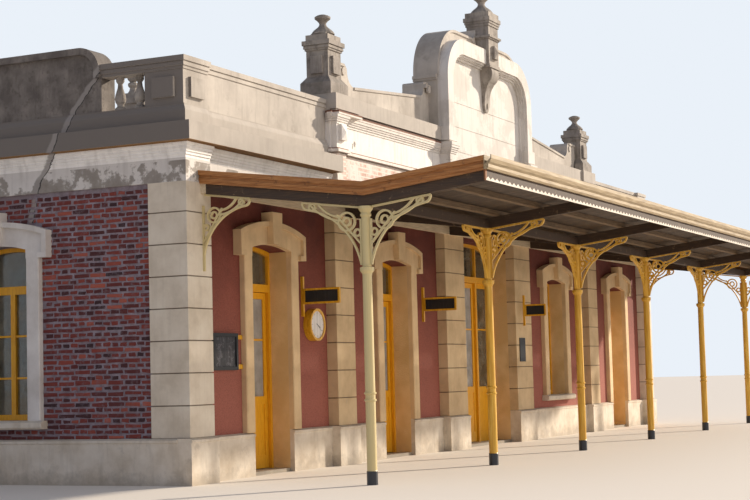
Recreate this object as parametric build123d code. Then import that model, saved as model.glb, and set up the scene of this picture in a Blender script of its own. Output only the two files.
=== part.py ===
from build123d import *
import math
import os

os.makedirs("parts", exist_ok=True)

# Railway station building of one storey: brick walls with pilasters, a moulded entablature and
# parapet, a raised attic with a pediment, and a platform canopy on iron columns.
# Millimetres. X runs along the platform front, +Y goes into the building, Z is up.
# The origin is the centre of the footprint, at ground level.

# Plan
length = 20550.0
depth = 6000.0
wall_thickness = 450.0
pilaster_projection = 170.0
end_projection = 40.0
corner_width = 586.0
side_pilaster_width = 596.0
centre_pilaster_width = 839.0
corner_depth = 580.0
centre_opening_width = 2460.0
side_bay_width = 3524.0

# Heights
floor_level = 50.0
plinth_height = 532.0
plinth_cap = 60.0
plinth_projection = 40.0
course_height = 410.0
joint_size = 14.0
wall_top = 3850.0
frieze_top = 4190.0
cornice_top = 4353.0
band_top = 4597.0
parapet_foot = 4855.0
parapet_top = 5478.0
coping_height = 170.0
band_projection = 165.0
parapet_setback = 50.0
bay_setback = 80.0
die_panel = 330.0
die_panel_height = 260.0
tablet_projection = 42.0
parapet_thickness = 300.0

# Doorways and windows
door_width = 1100.0
arch_spring = 3110.0
arch_rise = 65.0
surround_width = 210.0
surround_projection = 85.0
hood_width = 1830.0
hood_height = 320.0
hood_drop_width = 150.0
hood_foot = 2990.0
hood_projection = 45.0
label_width = 70.0
keystone_width = 280.0
keystone_top = 3620.0
keystone_projection = 50.0
reveal_depth = 360.0
sill_height = 840.0
sill_thickness = 110.0
sill_overhang = 60.0
window_width = 1000.0
centre_spring = 3560.0
centre_rise = 130.0

# Joinery
frame_width = 55.0
frame_depth = 90.0
transom_bottom = 2540.0
transom_height = 110.0
centre_transom_bottom = 2980.0
leaf_thickness = 44.0
leaf_gap = 6.0
meeting_gap = 10.0
foot_gap = 8.0
knuckle_radius = 8.0
knuckle_length = 90.0
seat_gap = 0.3
stile_width = 80.0
top_rail = 90.0
lock_rail_level = 900.0
lock_rail = 110.0
bottom_rail = 180.0
muntin = 28.0
panel_thickness = 22.0
glass_thickness = 6.0
mullion_width = 70.0
window_frame_depth = 80.0
centre_leaf_width = 660.0

# Attic, pediment and pinnacles
attic_end = 280.0
attic_pier_width = 300.0
attic_corner_strip = 30.0
attic_pier_projection = 50.0
attic_band_projection = 70.0
pedestal_projection = 20.0
pedestal_reach = 790.0
attic_wall_setback = 50.0
string_level = 4700.0
attic_cornice_level = 5110.0
attic_band_level = 5335.0
attic_band_top = 5575.0
low_wall_setback = 220.0
low_wall_thickness = 400.0
low_wall_lip = 20.0
low_wall_coping = 42.0
scroll_top = 6170.0
scroll_reach = 480.0
scroll_round = 110.0
scroll_boss = 62.0
sweep_reach = 700.0
sweep_low = 5850.0
sweep_high = 6085.0
sweep_cove = 160.0
end_block_width = 210.0
end_block_top = 6360.0
end_block_round = 50.0
end_block_projection = 50.0
diamond_width = 176.0
diamond_height = 240.0
diamond_projection = 57.0
diamond_point = 34.0
pediment_width = 4100.0
pediment_top = 7220.0
pediment_radius = 780.0
pediment_border = 240.0
pediment_top_border = 270.0
pediment_projection = 150.0
pediment_panel_foot = 4760.0
pediment_joint = 435.0
pediment_joint_size = 10.0
pediment_foot_reach = 60.0
back_slab_width = 4140.0
back_slab_top = 7420.0
back_slab_radius = 880.0
back_slab_thickness = 450.0
back_bead = 45.0
back_bead_projection = 25.0
back_bead_end = 400.0
back_cove = 185.0
back_moulding_level = 6405.0
pier_width = 470.0
pier_depth = 430.0
pier_projection = 57.0
pier_foot = 6890.0
pier_shaft_top = 7670.0
pier_neck_level = 7425.0
pier_panel_level = 7180.0
console_width = 340.0
console_foot_width = 120.0
console_foot = 6100.0
ball_finial_post = 150.0
ball_finial_height = 900.0
ball_radius = 110.0
ball_finial_offset = 1770.0
pinnacle_width = 424.0
pinnacle_depth = 370.0
pinnacle_setback = 85.0
pinnacle_flare = 75.0
pinnacle_foot_height = 180.0
pinnacle_flare_height = 100.0
pinnacle_panel_width = 230.0
pinnacle_panel_height = 270.0
pinnacle_panel_top = 6170.0
pinnacle_shaft_top = 6260.0

# End parapets and balustrades
baluster_radius = 75.0
baluster_count = 2
turned_sides = 16
rail_depth = 210.0
end_parapet_reach = 1690.0
end_parapet_top = 5731.0
end_parapet_radius = 330.0
end_parapet_coping = 90.0
end_parapet_lip = 60.0

# Canopy
canopy_column_line = 2335.0
canopy_edge = 3950.0
canopy_wall_level = 3710.0
canopy_valley_level = 3390.0
canopy_edge_level = 3580.0
beam_height = 150.0
beam_width = 110.0
fascia_height = 170.0
fascia_thickness = 60.0
column_radius = 62.0
column_base_radius = 68.0
column_base_height = 175.0
column_inset = 388.0
column_count = 6
column_sides = 16
collar_level = 2650.0
shaft_top_radius = 55.0
capital_reach = 35.0
capital_height = 80.0
bracket_reach = 820.0
bracket_drop = 720.0
bracket_plate = 34.0
scroll_bar = 24.0
wall_bracket_reach = 700.0
purlin_size = 70.0
rafter_width = 90.0
rafter_height = 140.0
sheet_thickness = 20.0
gutter_height = 170.0
gutter_depth = 100.0
strip_thickness = 20.0
plate_thickness = 80.0
ring_level = 1050.0
wall_bracket_drop = 1000.0

# Fittings
notice_share = 0.213
notice_width_share = 0.63
plaque_offset = 270.0
plaque_width = 285.0
plaque_foot = 1510.0
plaque_height = 450.0
plaque_depth = 15.0
notice_height = 490.0
notice_foot = 1440.0
notice_depth = 50.0
sign_reach = 460.0
sign_height = 225.0
sign_level = 2485.0
sign_bar_length = 580.0
sign_share = 0.275
sign_offset = 1132.0
clock_share = 0.238
clock_depth = 120.0
clock_level = 2080.0

front = -depth / 2
half = length / 2
inner_half = centre_opening_width / 2
centre_pilaster_x = inner_half + centre_pilaster_width / 2
side_bay_x = inner_half + centre_pilaster_width + side_bay_width / 2
side_pilaster_x = inner_half + centre_pilaster_width + side_bay_width + side_pilaster_width / 2
corner_x = half - corner_width / 2
outer_bay_x = (side_pilaster_x + side_pilaster_width / 2 + half - corner_width) / 2
wall_front = front + pilaster_projection
wall_back = wall_front + wall_thickness
bay_face = front + bay_setback
attic_left = -side_pilaster_x - attic_end
attic_face = front + attic_wall_setback
attic_pier_left = attic_left + attic_corner_strip
attic_pier_face = front - attic_pier_projection
pediment_face = front - pediment_projection
back_slab_half = back_slab_width / 2
low_wall_face = front + low_wall_setback
attic_pier_foot = canopy_wall_level + rafter_height + purlin_size + 3 * sheet_thickness
bay_margin = half - corner_width - outer_bay_x - door_width / 2 - surround_width
clock_radius = clock_share * bay_margin
clock_x = -(side_pilaster_x + side_pilaster_width / 2 + bay_margin / 2)
notice_left = -half + corner_width + notice_share * bay_margin
ball_finial_x = inner_half + ball_finial_offset
string_steps = [(18.0, -45.0, -20.0), (55.0, -20.0, 22.0), (30.0, 22.0, 42.0)]
cornice_steps = [(14.0, 0.0, 32.0), (28.0, 32.0, 64.0), (42.0, 64.0, 98.0), (58.0, 98.0, 140.0), (66.0, 140.0, 195.0)]
coping_steps = [(12.0, 0.0, 40.0), (26.0, 40.0, 88.0), (18.0, 88.0, 102.0), (40.0, 102.0, coping_height)]
end_wall_outer = half - end_projection
end_wall_inner = end_wall_outer - wall_thickness
foot_of_pilaster = plinth_height + plinth_cap
frame_front = wall_front - surround_projection + reveal_depth
frame_back = frame_front + frame_depth
column_spacing = (length - 2 * column_inset) / (column_count - 1)
column_xs = [-half + column_inset + column_spacing * i for i in range(column_count)]
column_y = front - canopy_column_line
canopy_y = front - canopy_edge
inner_slope = (canopy_wall_level - canopy_valley_level) / canopy_column_line
outer_slope = (canopy_edge_level - canopy_valley_level) / (canopy_edge - canopy_column_line)
pilaster_xs = [(-corner_x, corner_width), (-side_pilaster_x, side_pilaster_width),
               (-centre_pilaster_x, centre_pilaster_width), (centre_pilaster_x, centre_pilaster_width),
               (side_pilaster_x, side_pilaster_width), (corner_x, corner_width)]
door_xs = [-outer_bay_x, -side_bay_x, outer_bay_x]
sign_places = [(clock_x - sign_share * bay_margin, wall_front), (-side_bay_x + sign_offset, wall_front),
               (centre_pilaster_x, front)]
front_window_x = side_bay_x
rear_window_xs = [-outer_bay_x, -side_bay_x, 0.0, side_bay_x, outer_bay_x]


# Helpers

def save(name, solids):
    """Writes the solids of one named piece to its own file."""
    shape = solids[0] if len(solids) == 1 else Compound(children=list(solids))
    shape.label = name
    export_step(shape, f"parts/{name}.step")


def block(x0, x1, y0, y1, z0, z1):
    """A rectangular block between two corners."""
    return Pos((x0 + x1) / 2, (y0 + y1) / 2, (z0 + z1) / 2) * Box(x1 - x0, y1 - y0, z1 - z0)


def one(shape):
    """The single solid of a result."""
    return max(shape.solids(), key=lambda s: s.volume)


def along_x(points, x0, x1):
    """An outline of (y, z) points carried along X."""
    face = Face(Wire.make_polygon([Vector(x0, y, z) for y, z in points], close=True))
    return Solid.extrude(face, Vector(x1 - x0, 0, 0))


def along_y(points, y0, y1):
    """An outline of (x, z) points carried along Y."""
    face = Face(Wire.make_polygon([Vector(x, y0, z) for x, z in points], close=True))
    return Solid.extrude(face, Vector(0, y1 - y0, 0))


def upright_plane(y):
    """The plane of a wall at depth y: its sketches are drawn in X and Z."""
    return Plane(origin=(0, y, 0), x_dir=(1, 0, 0), z_dir=(0, -1, 0))


def across_y(sketch, y0, y1):
    """A sketch of X and Z carried along Y."""
    return Solid.extrude((upright_plane(y0) * sketch).faces()[0], Vector(0, y1 - y0, 0))


def side_plane(x):
    """The plane of a wall's end at x: its sketches are drawn in Y and Z."""
    return Plane(origin=(x, 0, 0), x_dir=(0, 1, 0), z_dir=(1, 0, 0))


def across_x(sketch, x0, x1):
    """A sketch of Y and Z carried along X."""
    return Solid.extrude((side_plane(x0) * sketch).faces()[0], Vector(x1 - x0, 0, 0))


def joined(parts):
    """Several solids that touch, made one."""
    solid = parts[0]
    for part in parts[1:]:
        solid = solid + part
    return one(solid)


def wrapped(x0, x1, face, steps, level, back):
    """Fillets on one another round a pier; each stands out by its own amount, also at both sides."""
    return [block(x0 - out, x1 + out, face - out, back, level + low, level + high) for out, low, high in steps]


def stair(face, back, steps, level):
    """Section of fillets on one another, as (y, z) points facing -Y."""
    points = [(back, level + steps[0][1])]
    for out, low, high in steps:
        points += [(face - out, level + low), (face - out, level + high)]
    return points + [(back, level + steps[-1][2])]


def turned(points, x, y, sides):
    """A turned form from its half outline of (radius, height) points, as a prism-faced loft of many sides."""
    rings = [Plane(origin=(x, y, z)) * RegularPolygon(r, sides) for r, z in points]
    return Solid.make_loft([ring.faces()[0].outer_wire() for ring in rings], ruled=True)


def diamond_block(x, face, level):
    """A raised block with a diamond point, centred at x and level on a face."""
    w, h = diamond_width / 2, diamond_height / 2
    base = block(x - w, x + w, face - diamond_projection, face + 1, level - h, level + h)
    y = face - diamond_projection
    rings = [Wire.make_polygon([Vector(x + sx * w * k, y - d, level + sz * h * k)
                                for sx, sz in ((-1, -1), (1, -1), (1, 1), (-1, 1))], close=True)
             for k, d in ((1.0, 0.0), (0.04, diamond_point))]
    return one(base + Solid.make_loft(rings, ruled=True))


def arch_radius(chord, rise):
    """Radius of a segmental arch."""
    return (chord * chord / 4 + rise * rise) / (2 * rise)


def arched_sketch(x, width, z0, spring, rise):
    """An opening with a segmental head."""
    left, right = x - width / 2, x + width / 2
    lines = [Line((left, z0), (right, z0)), Line((right, z0), (right, spring)),
             ThreePointArc((right, spring), (x, spring + rise), (left, spring)), Line((left, spring), (left, z0))]
    return make_face(lines)


def to_rear(solid):
    """The same piece on the rear wall."""
    return Rot(0, 0, 180) * solid


def to_end(solid, side):
    """Takes a piece made for a face at Y=0 looking to -Y to an end wall: side -1 left, 1 right."""
    return Rot(0, 0, 90 * side) * solid


# Walls

def floor_slab():
    """The floor inside the walls."""
    return [block(-end_wall_inner, end_wall_inner, wall_back, -wall_back, 0, floor_level)]


def thresholds():
    """The floor carried out through each doorway to the face of the wall."""
    places = [(x, door_width) for x in door_xs] + [(0.0, centre_opening_width)]
    return [block(x - w / 2, x + w / 2, wall_front, wall_back, 0, floor_level) for x, w in places]


def openings_of(xs, width):
    """Left and right edge of each opening."""
    return [(x - width / 2, x + width / 2) for x in xs]


def front_openings():
    """Edges of the openings of the front wall, in order."""
    outer = openings_of([-outer_bay_x, -side_bay_x], door_width)
    return outer + [(-inner_half, inner_half)] + openings_of([side_bay_x, outer_bay_x], door_width)


def wall_piers(openings):
    """The lengths of wall between openings, from the ground to the entablature."""
    edges = [-end_wall_inner] + [v for pair in openings for v in pair] + [end_wall_inner]
    return [block(edges[i], edges[i + 1], wall_front, wall_back, 0, wall_top) for i in range(0, len(edges), 2)]


def wall_head(x, width, spring, rise):
    """The wall over an opening, with an arched underside."""
    solid = block(x - width / 2, x + width / 2, wall_front, wall_back, spring, wall_top)
    return one(solid - across_y(arched_sketch(x, width, spring - 50, spring, rise), wall_front - 10, wall_back + 10))


def wall_heads():
    """Heads over all openings of the front, the rear and the ends."""
    heads = [wall_head(x, door_width, arch_spring, arch_rise) for x in door_xs + [front_window_x]]
    heads.append(wall_head(0.0, centre_opening_width, centre_spring, centre_rise))
    heads += [to_rear(wall_head(x, window_width, arch_spring, arch_rise)) for x in rear_window_xs]
    heads += [end_piece(wall_head(0.0, window_width, arch_spring, arch_rise), side) for side in (-1, 1)]
    return heads


def end_piece(solid, side):
    """Takes a piece from the front wall at X=0 to the middle of an end wall."""
    return Pos(side * end_wall_outer, 0, 0) * to_end(Pos(0, -wall_front, 0) * solid, side)


def wall_apron(x, width):
    """The wall under a window."""
    return block(x - width / 2, x + width / 2, wall_front, wall_back, 0, sill_height - sill_thickness)


def wall_aprons():
    """Aprons under all windows."""
    aprons = [wall_apron(front_window_x, door_width)]
    aprons += [to_rear(wall_apron(x, window_width)) for x in rear_window_xs]
    return aprons + [end_piece(wall_apron(0.0, window_width), side) for side in (-1, 1)]


def end_wall_piers():
    """Brickwork each side of the window of an end wall."""
    reach = depth / 2 - pilaster_projection
    left = block(-reach, -window_width / 2, wall_front, wall_back, 0, wall_top)
    right = block(window_width / 2, reach, wall_front, wall_back, 0, wall_top)
    return [end_piece(s, side) for side in (-1, 1) for s in (left, right)]


# Pilasters and plinth

def joint_levels():
    """Heights of the V joints between the blocks of a pilaster."""
    count = int((wall_top - foot_of_pilaster) // course_height)
    levels = [foot_of_pilaster + course_height * i for i in range(1, count + 1)]
    return [z for z in levels if z < wall_top - joint_size]


def with_joints(solid, outline):
    """Cuts a V joint round a pier at each course, from its plan outline (a face at Z=0)."""
    box = solid.bounding_box()
    inner = offset(outline, -joint_size)
    for z in joint_levels():
        slab = block(box.min.X - 5, box.max.X + 5, box.min.Y - 5, box.max.Y + 5, z - joint_size / 2, z + joint_size / 2)
        core = Solid.extrude(Pos(0, 0, z - joint_size) * inner.faces()[0], Vector(0, 0, 2 * joint_size))
        solid = solid - (slab - core)
    return one(solid)


def pier_from_plan(points):
    """A pier with V joints, from the plan outline of its blocks."""
    face = Face(Wire.make_polygon([Vector(x, y, 0) for x, y in points], close=True))
    height = wall_top - foot_of_pilaster
    solid = Solid.extrude(Pos(0, 0, foot_of_pilaster) * face, Vector(0, 0, height))
    return with_joints(solid, face)


def pilasters():
    """Pilasters of the front and the rear, and the four corner piers."""
    solids = []
    for x, width in pilaster_xs[1:-1]:
        a, b = x - width / 2, x + width / 2
        pier = pier_from_plan([(a, front), (b, front), (b, wall_front), (a, wall_front)])
        solids += [pier, to_rear(pier)]
    a, b = -half, -half + corner_width
    corner = pier_from_plan([(a, front), (b, front), (b, wall_front), (a + end_projection, wall_front),
                             (a + end_projection, front + corner_depth), (a, front + corner_depth)])
    solids += [corner, corner.mirror(Plane.YZ), to_rear(corner), to_rear(corner.mirror(Plane.YZ))]
    return solids


def plinth_outline(face, back):
    """Section of the plinth with its weathered cap, facing -Y."""
    out = face - plinth_projection
    cap = plinth_height + plinth_cap
    return [(back, 0), (out, 0), (out, plinth_height), (out - 12, plinth_height + 10),
            (out - 12, cap - 20), (face, cap), (back, cap)]


def front_plinth(a, b):
    """Plinth between two doorways, breaking forward round the pilasters."""
    run = along_x(plinth_outline(wall_front - 30, wall_front), max(a, 20 - half), min(b, half - 20))
    for x, width in pilaster_xs:
        lo, hi = x - width / 2 - plinth_projection, x + width / 2 + plinth_projection
        if hi > a and lo < b:
            run = run + along_x(plinth_outline(front, wall_front), max(lo, a), min(hi, b))
    return one(run)


def plinths():
    """Plinths of the front between doorways, of the rear and of the ends."""
    edges = [-half - plinth_projection] + [v for x in door_xs[:2] for v in (x - door_width / 2, x + door_width / 2)]
    edges += [-inner_half, inner_half, outer_bay_x - door_width / 2, outer_bay_x + door_width / 2]
    edges.append(half + plinth_projection)
    solids = [front_plinth(edges[i], edges[i + 1]) for i in range(0, len(edges), 2)]
    solids.append(to_rear(front_plinth(-half - plinth_projection, half + plinth_projection)))
    reach = depth / 2 - pilaster_projection
    run = along_x(plinth_outline(0.0, end_projection), -reach, reach)
    solids += [Pos(side * half, 0, 0) * to_end(run, side) for side in (-1, 1)]
    return solids


# Surrounds

def jamb(x0, x1, foot):
    """One jamb of a surround, standing out from the wall, with a chamfered front."""
    y = wall_front - surround_projection
    c = 12.0
    plan = [(x0, wall_front), (x0, y + c), (x0 + c, y), (x1 - c, y), (x1, y + c), (x1, wall_front)]
    face = Face(Wire.make_polygon([Vector(px, py, foot) for px, py in plan], close=True))
    return Solid.extrude(face, Vector(0, 0, hood_foot - foot))


def jamb_pair(x, width, foot):
    """Both jambs of an opening."""
    a, b = x - width / 2, x + width / 2
    return [jamb(a - surround_width, a, foot), jamb(b, b + surround_width, foot)]


def surround_jambs():
    """Jambs of all surrounds."""
    solids = []
    for x in door_xs:
        solids += jamb_pair(x, door_width, foot_of_pilaster)
    solids += jamb_pair(front_window_x, door_width, sill_height)
    for x in rear_window_xs:
        solids += [to_rear(s) for s in jamb_pair(x, window_width, sill_height)]
    for side in (-1, 1):
        solids += [end_piece(s, side) for s in jamb_pair(0.0, window_width, sill_height)]
    return solids


def hood_lines(x, half_width, top, foot, inner_half_width, soffit, spring):
    """Lines of an arched label: outer sides and arch, then the opening side."""
    radius = arch_radius(door_width, arch_rise) + hood_height
    end = top - (radius - math.sqrt(radius * radius - half_width * half_width))
    a, b, c, d = x - half_width, x + half_width, x + inner_half_width, x - inner_half_width
    return [Line((a, foot), (a, end)), ThreePointArc((a, end), (x, top), (b, end)), Line((b, end), (b, foot)),
            Line((b, foot), (c, foot)), Line((c, foot), (c, spring)), ThreePointArc((c, spring), (x, soffit), (d, spring)),
            Line((d, spring), (d, foot)), Line((d, foot), (a, foot))]


def hood(x, width):
    """Arched hood over an opening: face, raised label with returns at its feet, and keystone."""
    side = (hood_width - door_width) / 2
    half_width = width / 2 + side
    soffit = arch_spring + arch_rise
    crown = soffit + hood_height
    face_y = wall_front - surround_projection
    plate = across_y(make_face(hood_lines(x, half_width, crown, hood_foot, width / 2, soffit, arch_spring)),
                     face_y, wall_front)
    inner = half_width - label_width
    inner_end = crown - label_width
    radius = arch_radius(door_width, arch_rise) + hood_height - label_width
    spring = inner_end - (radius - math.sqrt(radius * radius - inner * inner))
    label = across_y(make_face(hood_lines(x, half_width, crown, hood_foot, inner, inner_end, spring)),
                     face_y - hood_projection, face_y)
    solid = plate + label
    for s in (-1, 1):
        lo, hi = sorted((x + s * half_width, x + s * (half_width - hood_drop_width)))
        solid = solid + block(lo, hi, face_y - hood_projection, face_y, hood_foot, hood_foot + label_width)
    top, foot = keystone_width / 2, keystone_width * 0.42
    key = along_y([(x - top, keystone_top), (x + top, keystone_top), (x + foot, soffit), (x - foot, soffit)],
                  face_y - hood_projection - keystone_projection, wall_front)
    return one(solid + key)


def arched_hoods():
    """Hoods of all openings but the centre entrance."""
    solids = [hood(x, door_width) for x in door_xs + [front_window_x]]
    solids += [to_rear(hood(x, window_width)) for x in rear_window_xs]
    return solids + [end_piece(hood(0.0, window_width), side) for side in (-1, 1)]


def sill(x, width):
    """Window sill with a weathered top and a throated nose."""
    x0 = x - width / 2 - surround_width - sill_overhang
    x1 = x + width / 2 + surround_width + sill_overhang
    out = wall_front - surround_projection - sill_overhang
    low = sill_height - sill_thickness
    nose = along_x([(wall_front, sill_height), (out + 40, sill_height), (out, sill_height - 25), (out, low + 25),
                    (out + 30, low), (wall_front, low)], x0, x1)
    return one(nose + block(x - width / 2, x + width / 2, wall_front - 1, wall_back, low, sill_height))


def window_sills():
    """Sills of all windows."""
    solids = [sill(front_window_x, door_width)]
    solids += [to_rear(sill(x, window_width)) for x in rear_window_xs]
    return solids + [end_piece(sill(0.0, window_width), side) for side in (-1, 1)]


# Entablature and parapets

def entablature_outline(face, band_face, back):
    """Section of frieze, fillets, blocking band and splayed base: (y, z) points, facing -Y."""
    out = band_face - band_projection
    base = face - 15
    foot = face + parapet_setback - 25
    return [(back, wall_top), (face, wall_top), (face, frieze_top), (face - 16, frieze_top),
            (face - 16, frieze_top + 34), (face - 32, frieze_top + 38), (face - 32, frieze_top + 70),
            (face - 48, frieze_top + 74), (face - 48, frieze_top + 106), (face - 62, frieze_top + 112),
            (face - 74, cornice_top - 30), (face - 74, cornice_top), (out, cornice_top), (out, band_top), (base, band_top),
            (base, band_top + 165), (base + 12, band_top + 195), (foot, parapet_foot - 18), (foot, parapet_foot),
            (back, parapet_foot)]


def parapet_outline(face, back):
    """Section of the parapet wall with its moulded coping, facing -Y."""
    y = face + parapet_setback
    return [(back, parapet_foot), (y, parapet_foot)] + stair(y, back, coping_steps, parapet_top - coping_height)[1:]


def corner_cut(x, face, side):
    """A prism whose 45 degree plane passes through a building corner: side -1 left end, 1 right end."""
    reach = 1000.0
    far = x - side * (length + reach)
    plan = [(x + side * reach, face - reach), (x - side * reach, face + reach), (far, face + reach), (far, face - reach)]
    base = Face(Wire.make_polygon([Vector(px, py, 0) for px, py in plan], close=True))
    return Solid.extrude(base, Vector(0, 0, attic_band_top))


def mitred(outline, x0, x1, corner0, corner1, face):
    """A moulded length; an end at a building corner is cut at 45 degrees through the corner point."""
    reach = 900.0
    solid = along_x(outline, x0 - corner0 * reach, x1 + corner1 * reach)
    if corner0:
        solid = one(solid & corner_cut(x0, face, -1))
    if corner1:
        solid = one(solid & corner_cut(x1, face, 1))
    return solid


def wing_cornice(stop):
    """Entablature from the left corner to a stop, forward over the corner pier and back over the bay."""
    bay = along_x(entablature_outline(bay_face, front, wall_back), -half + corner_width, stop)
    corner = mitred(entablature_outline(front, front, wall_back), -half, -half + corner_width, 1, 0, front)
    return one(bay + corner)


def long_cornices():
    """Entablatures of the front wings and of the whole rear."""
    left = wing_cornice(attic_left)
    rear = wing_cornice(0.0)
    return [left, left.mirror(Plane.YZ), to_rear(one(rear + rear.mirror(Plane.YZ)))]


def end_cornices():
    """Entablatures of the two ends, mitred into the corners."""
    back = end_projection + wall_thickness
    run = mitred(entablature_outline(0.0, 0.0, back), front, -front, 1, 1, 0.0)
    return [Pos(side * half, 0, 0) * to_end(run, side) for side in (-1, 1)]


def corner_die():
    """Die on the left front corner with raised tablets and its coping."""
    low = parapet_top - coping_height
    size = corner_width
    middle = (parapet_foot + low) / 2
    a, b = (size - die_panel) / 2, (size + die_panel) / 2
    z0, z1 = middle - die_panel_height / 2, middle + die_panel_height / 2
    solid = block(0, size, 0, size, parapet_foot, low)
    solid = solid + block(a, b, -tablet_projection, 1, z0, z1) + block(-tablet_projection, 1, a, b, z0, z1)
    for out, z0, z1 in coping_steps:
        solid = solid + block(-out, size + out, -out, size, low + z0, low + z1)
    return Pos(-half + parapet_setback, front + parapet_setback, 0) * one(solid)


def long_parapets():
    """Corner dies with the parapets between them and the attic, and the parapet of the rear."""
    start = -half + parapet_setback + corner_width
    back = bay_face + parapet_thickness
    left = one(corner_die() + along_x(parapet_outline(bay_face, back), start - 5, attic_left))
    rear = one(corner_die() + along_x(parapet_outline(bay_face, back), start - 5, 0.0))
    return [left, left.mirror(Plane.YZ), to_rear(one(rear + rear.mirror(Plane.YZ)))]


def raised_end_outline(z0, inset):
    """Outline of a raised end parapet with quarter-round shoulders, drawn in X and Z."""
    reach = end_parapet_reach - inset
    radius = end_parapet_radius - inset
    top = end_parapet_top - inset
    mid = radius * math.sqrt(0.5)
    return make_face([
        Line((-reach, z0), (reach, z0)), Line((reach, z0), (reach, top - radius)),
        ThreePointArc((reach, top - radius), (reach - radius + mid, top - radius + mid), (reach - radius, top)),
        Line((reach - radius, top), (-reach + radius, top)),
        ThreePointArc((-reach + radius, top), (-reach + radius - mid, top - radius + mid), (-reach, top - radius)),
        Line((-reach, top - radius), (-reach, z0))])


def end_parapets():
    """Solid raised parapets of the ends, with a moulded edge that follows the top."""
    y = parapet_setback
    wall = across_y(raised_end_outline(parapet_foot, 0.0), y, y + parapet_thickness)
    rim = across_y(raised_end_outline(parapet_top - coping_height, 0.0), y - end_parapet_lip, y)
    hollow = across_y(raised_end_outline(parapet_foot - 300, end_parapet_coping), y - end_parapet_lip - 1, y)
    solid = one(wall + (rim - hollow))
    return [Pos(side * half, 0, 0) * to_end(solid, side) for side in (-1, 1)]


def balustrade_span():
    """From the corner die to the raised parapet along an end, measured from the middle."""
    return end_parapet_reach, depth / 2 - parapet_setback - corner_width


def balustrade_rails():
    """Moulded rails over the balusters, with a half die against each raised parapet."""
    solids = []
    near, far = balustrade_span()
    low = parapet_top - coping_height
    y = parapet_setback
    outline = stair(y, y + rail_depth, coping_steps, low)
    for side in (-1, 1):
        for a, b in ((near, far), (-far, -near)):
            solids.append(Pos(side * half, 0, 0) * to_end(along_x(outline, a, b), side))
    return solids


def baluster(x, y):
    """A vase baluster turned about its own axis, from the base to the rail."""
    h = parapet_top - coping_height - parapet_foot
    r = baluster_radius
    points = [(r, 0), (r, 0.08 * h), (0.62 * r, 0.14 * h), (0.62 * r, 0.2 * h), (0.9 * r, 0.27 * h), (r, 0.36 * h),
              (0.9 * r, 0.47 * h), (0.5 * r, 0.68 * h), (0.42 * r, 0.8 * h), (0.75 * r, 0.88 * h), (0.75 * r, h)]
    return turned([(radius, parapet_foot + z) for radius, z in points], x, y, turned_sides)


def balusters():
    """Balusters of the four balustrades."""
    near, far = balustrade_span()
    solids = []
    y = parapet_setback + (rail_depth + 30) / 2
    for side in (-1, 1):
        for sign in (-1, 1):
            for i in range(baluster_count):
                x = sign * (near + (far - near) * (i + 0.7) / (baluster_count + 0.2))
                solids.append(Pos(side * half, 0, 0) * to_end(baluster(x, y), side))
    return solids


# Attic

def attic_pedestal(x0, x1):
    """The band where it breaks forward under a pinnacle, on the top fillet of the cornice."""
    y = attic_pier_face
    out, low, high = cornice_steps[-1]
    fillet = block(x0, x1, y - out, attic_face, attic_cornice_level + low, attic_cornice_level + high)
    return [fillet, block(x0, x1, y - pedestal_projection, wall_back, attic_band_level, attic_band_top)]


def attic_end_pier():
    """The narrow pier by the left end of the attic, with its string, cornice, pedestal and diamond block."""
    x0, x1 = attic_pier_left, attic_pier_left + attic_pier_width
    y = attic_pier_face
    parts = [block(x0, x1, y, attic_face + 1, attic_pier_foot, attic_band_level)]
    parts += wrapped(x0, x1, y, string_steps, string_level, attic_face + 1)
    parts += wrapped(x0, x1, y, cornice_steps[:-1], attic_cornice_level, attic_face + 1)
    parts += attic_pedestal(attic_left, attic_left + pedestal_reach)
    parts.append(diamond_block((x0 + x1) / 2, y, (string_level + attic_cornice_level) / 2 + 75))
    return parts


def attic_left_half():
    """Left half of the raised middle of the front, with mouldings that return at its end."""
    stop = bay_face - 20
    parts = [block(attic_left, 0, attic_face, wall_back, wall_top, attic_band_level)]
    for out, low, high in string_steps:
        parts.append(block(attic_left - out, 0, attic_face - out, stop, string_level + low, string_level + high))
    for out, low, high in cornice_steps:
        z = attic_cornice_level
        parts.append(block(attic_left - out, 0, attic_face - out, stop, z + low, z + high))
    parts.append(block(attic_left, 0, attic_face - attic_band_projection, wall_back, attic_band_level, attic_band_top))
    return joined(parts + attic_end_pier())


def attic_wall():
    """The raised middle of the front; its mouldings stop against the pediment."""
    left = attic_left_half()
    return [one(left + left.mirror(Plane.YZ) - pediment_front()[0])]


def low_wall_outline():
    """Front view of the low wall: scroll at the pinnacle, rising coping, cove and block at the pediment."""
    a = -side_pilaster_x + pinnacle_width / 2
    b = -back_slab_half
    far = a + scroll_reach
    r = scroll_round * math.sqrt(0.5)
    block_left = b - end_block_width
    cove = sweep_cove * math.sqrt(0.5)
    top = end_block_top
    e = end_block_round
    k = e * math.sqrt(0.5)
    return make_face([
        Line((b, attic_band_top), (a, attic_band_top)), Line((a, attic_band_top), (a, scroll_top)),
        Line((a, scroll_top), (far - scroll_round, scroll_top)),
        ThreePointArc((far - scroll_round, scroll_top), (far - scroll_round + r, scroll_top - scroll_round + r),
                      (far, scroll_top - scroll_round)),
        ThreePointArc((far, scroll_top - scroll_round), (far + 55, sweep_low + 75), (a + sweep_reach, sweep_low)),
        Line((a + sweep_reach, sweep_low), (block_left - sweep_cove, sweep_high)),
        ThreePointArc((block_left - sweep_cove, sweep_high),
                      (block_left - sweep_cove + cove, sweep_high + sweep_cove - cove),
                      (block_left, sweep_high + sweep_cove)),
        Line((block_left, sweep_high + sweep_cove), (block_left, top - e)),
        ThreePointArc((block_left, top - e), (block_left + e - k, top - e + k), (block_left + e, top)),
        Line((block_left + e, top), (b, top)), Line((b, top), (b, attic_band_top))])


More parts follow.
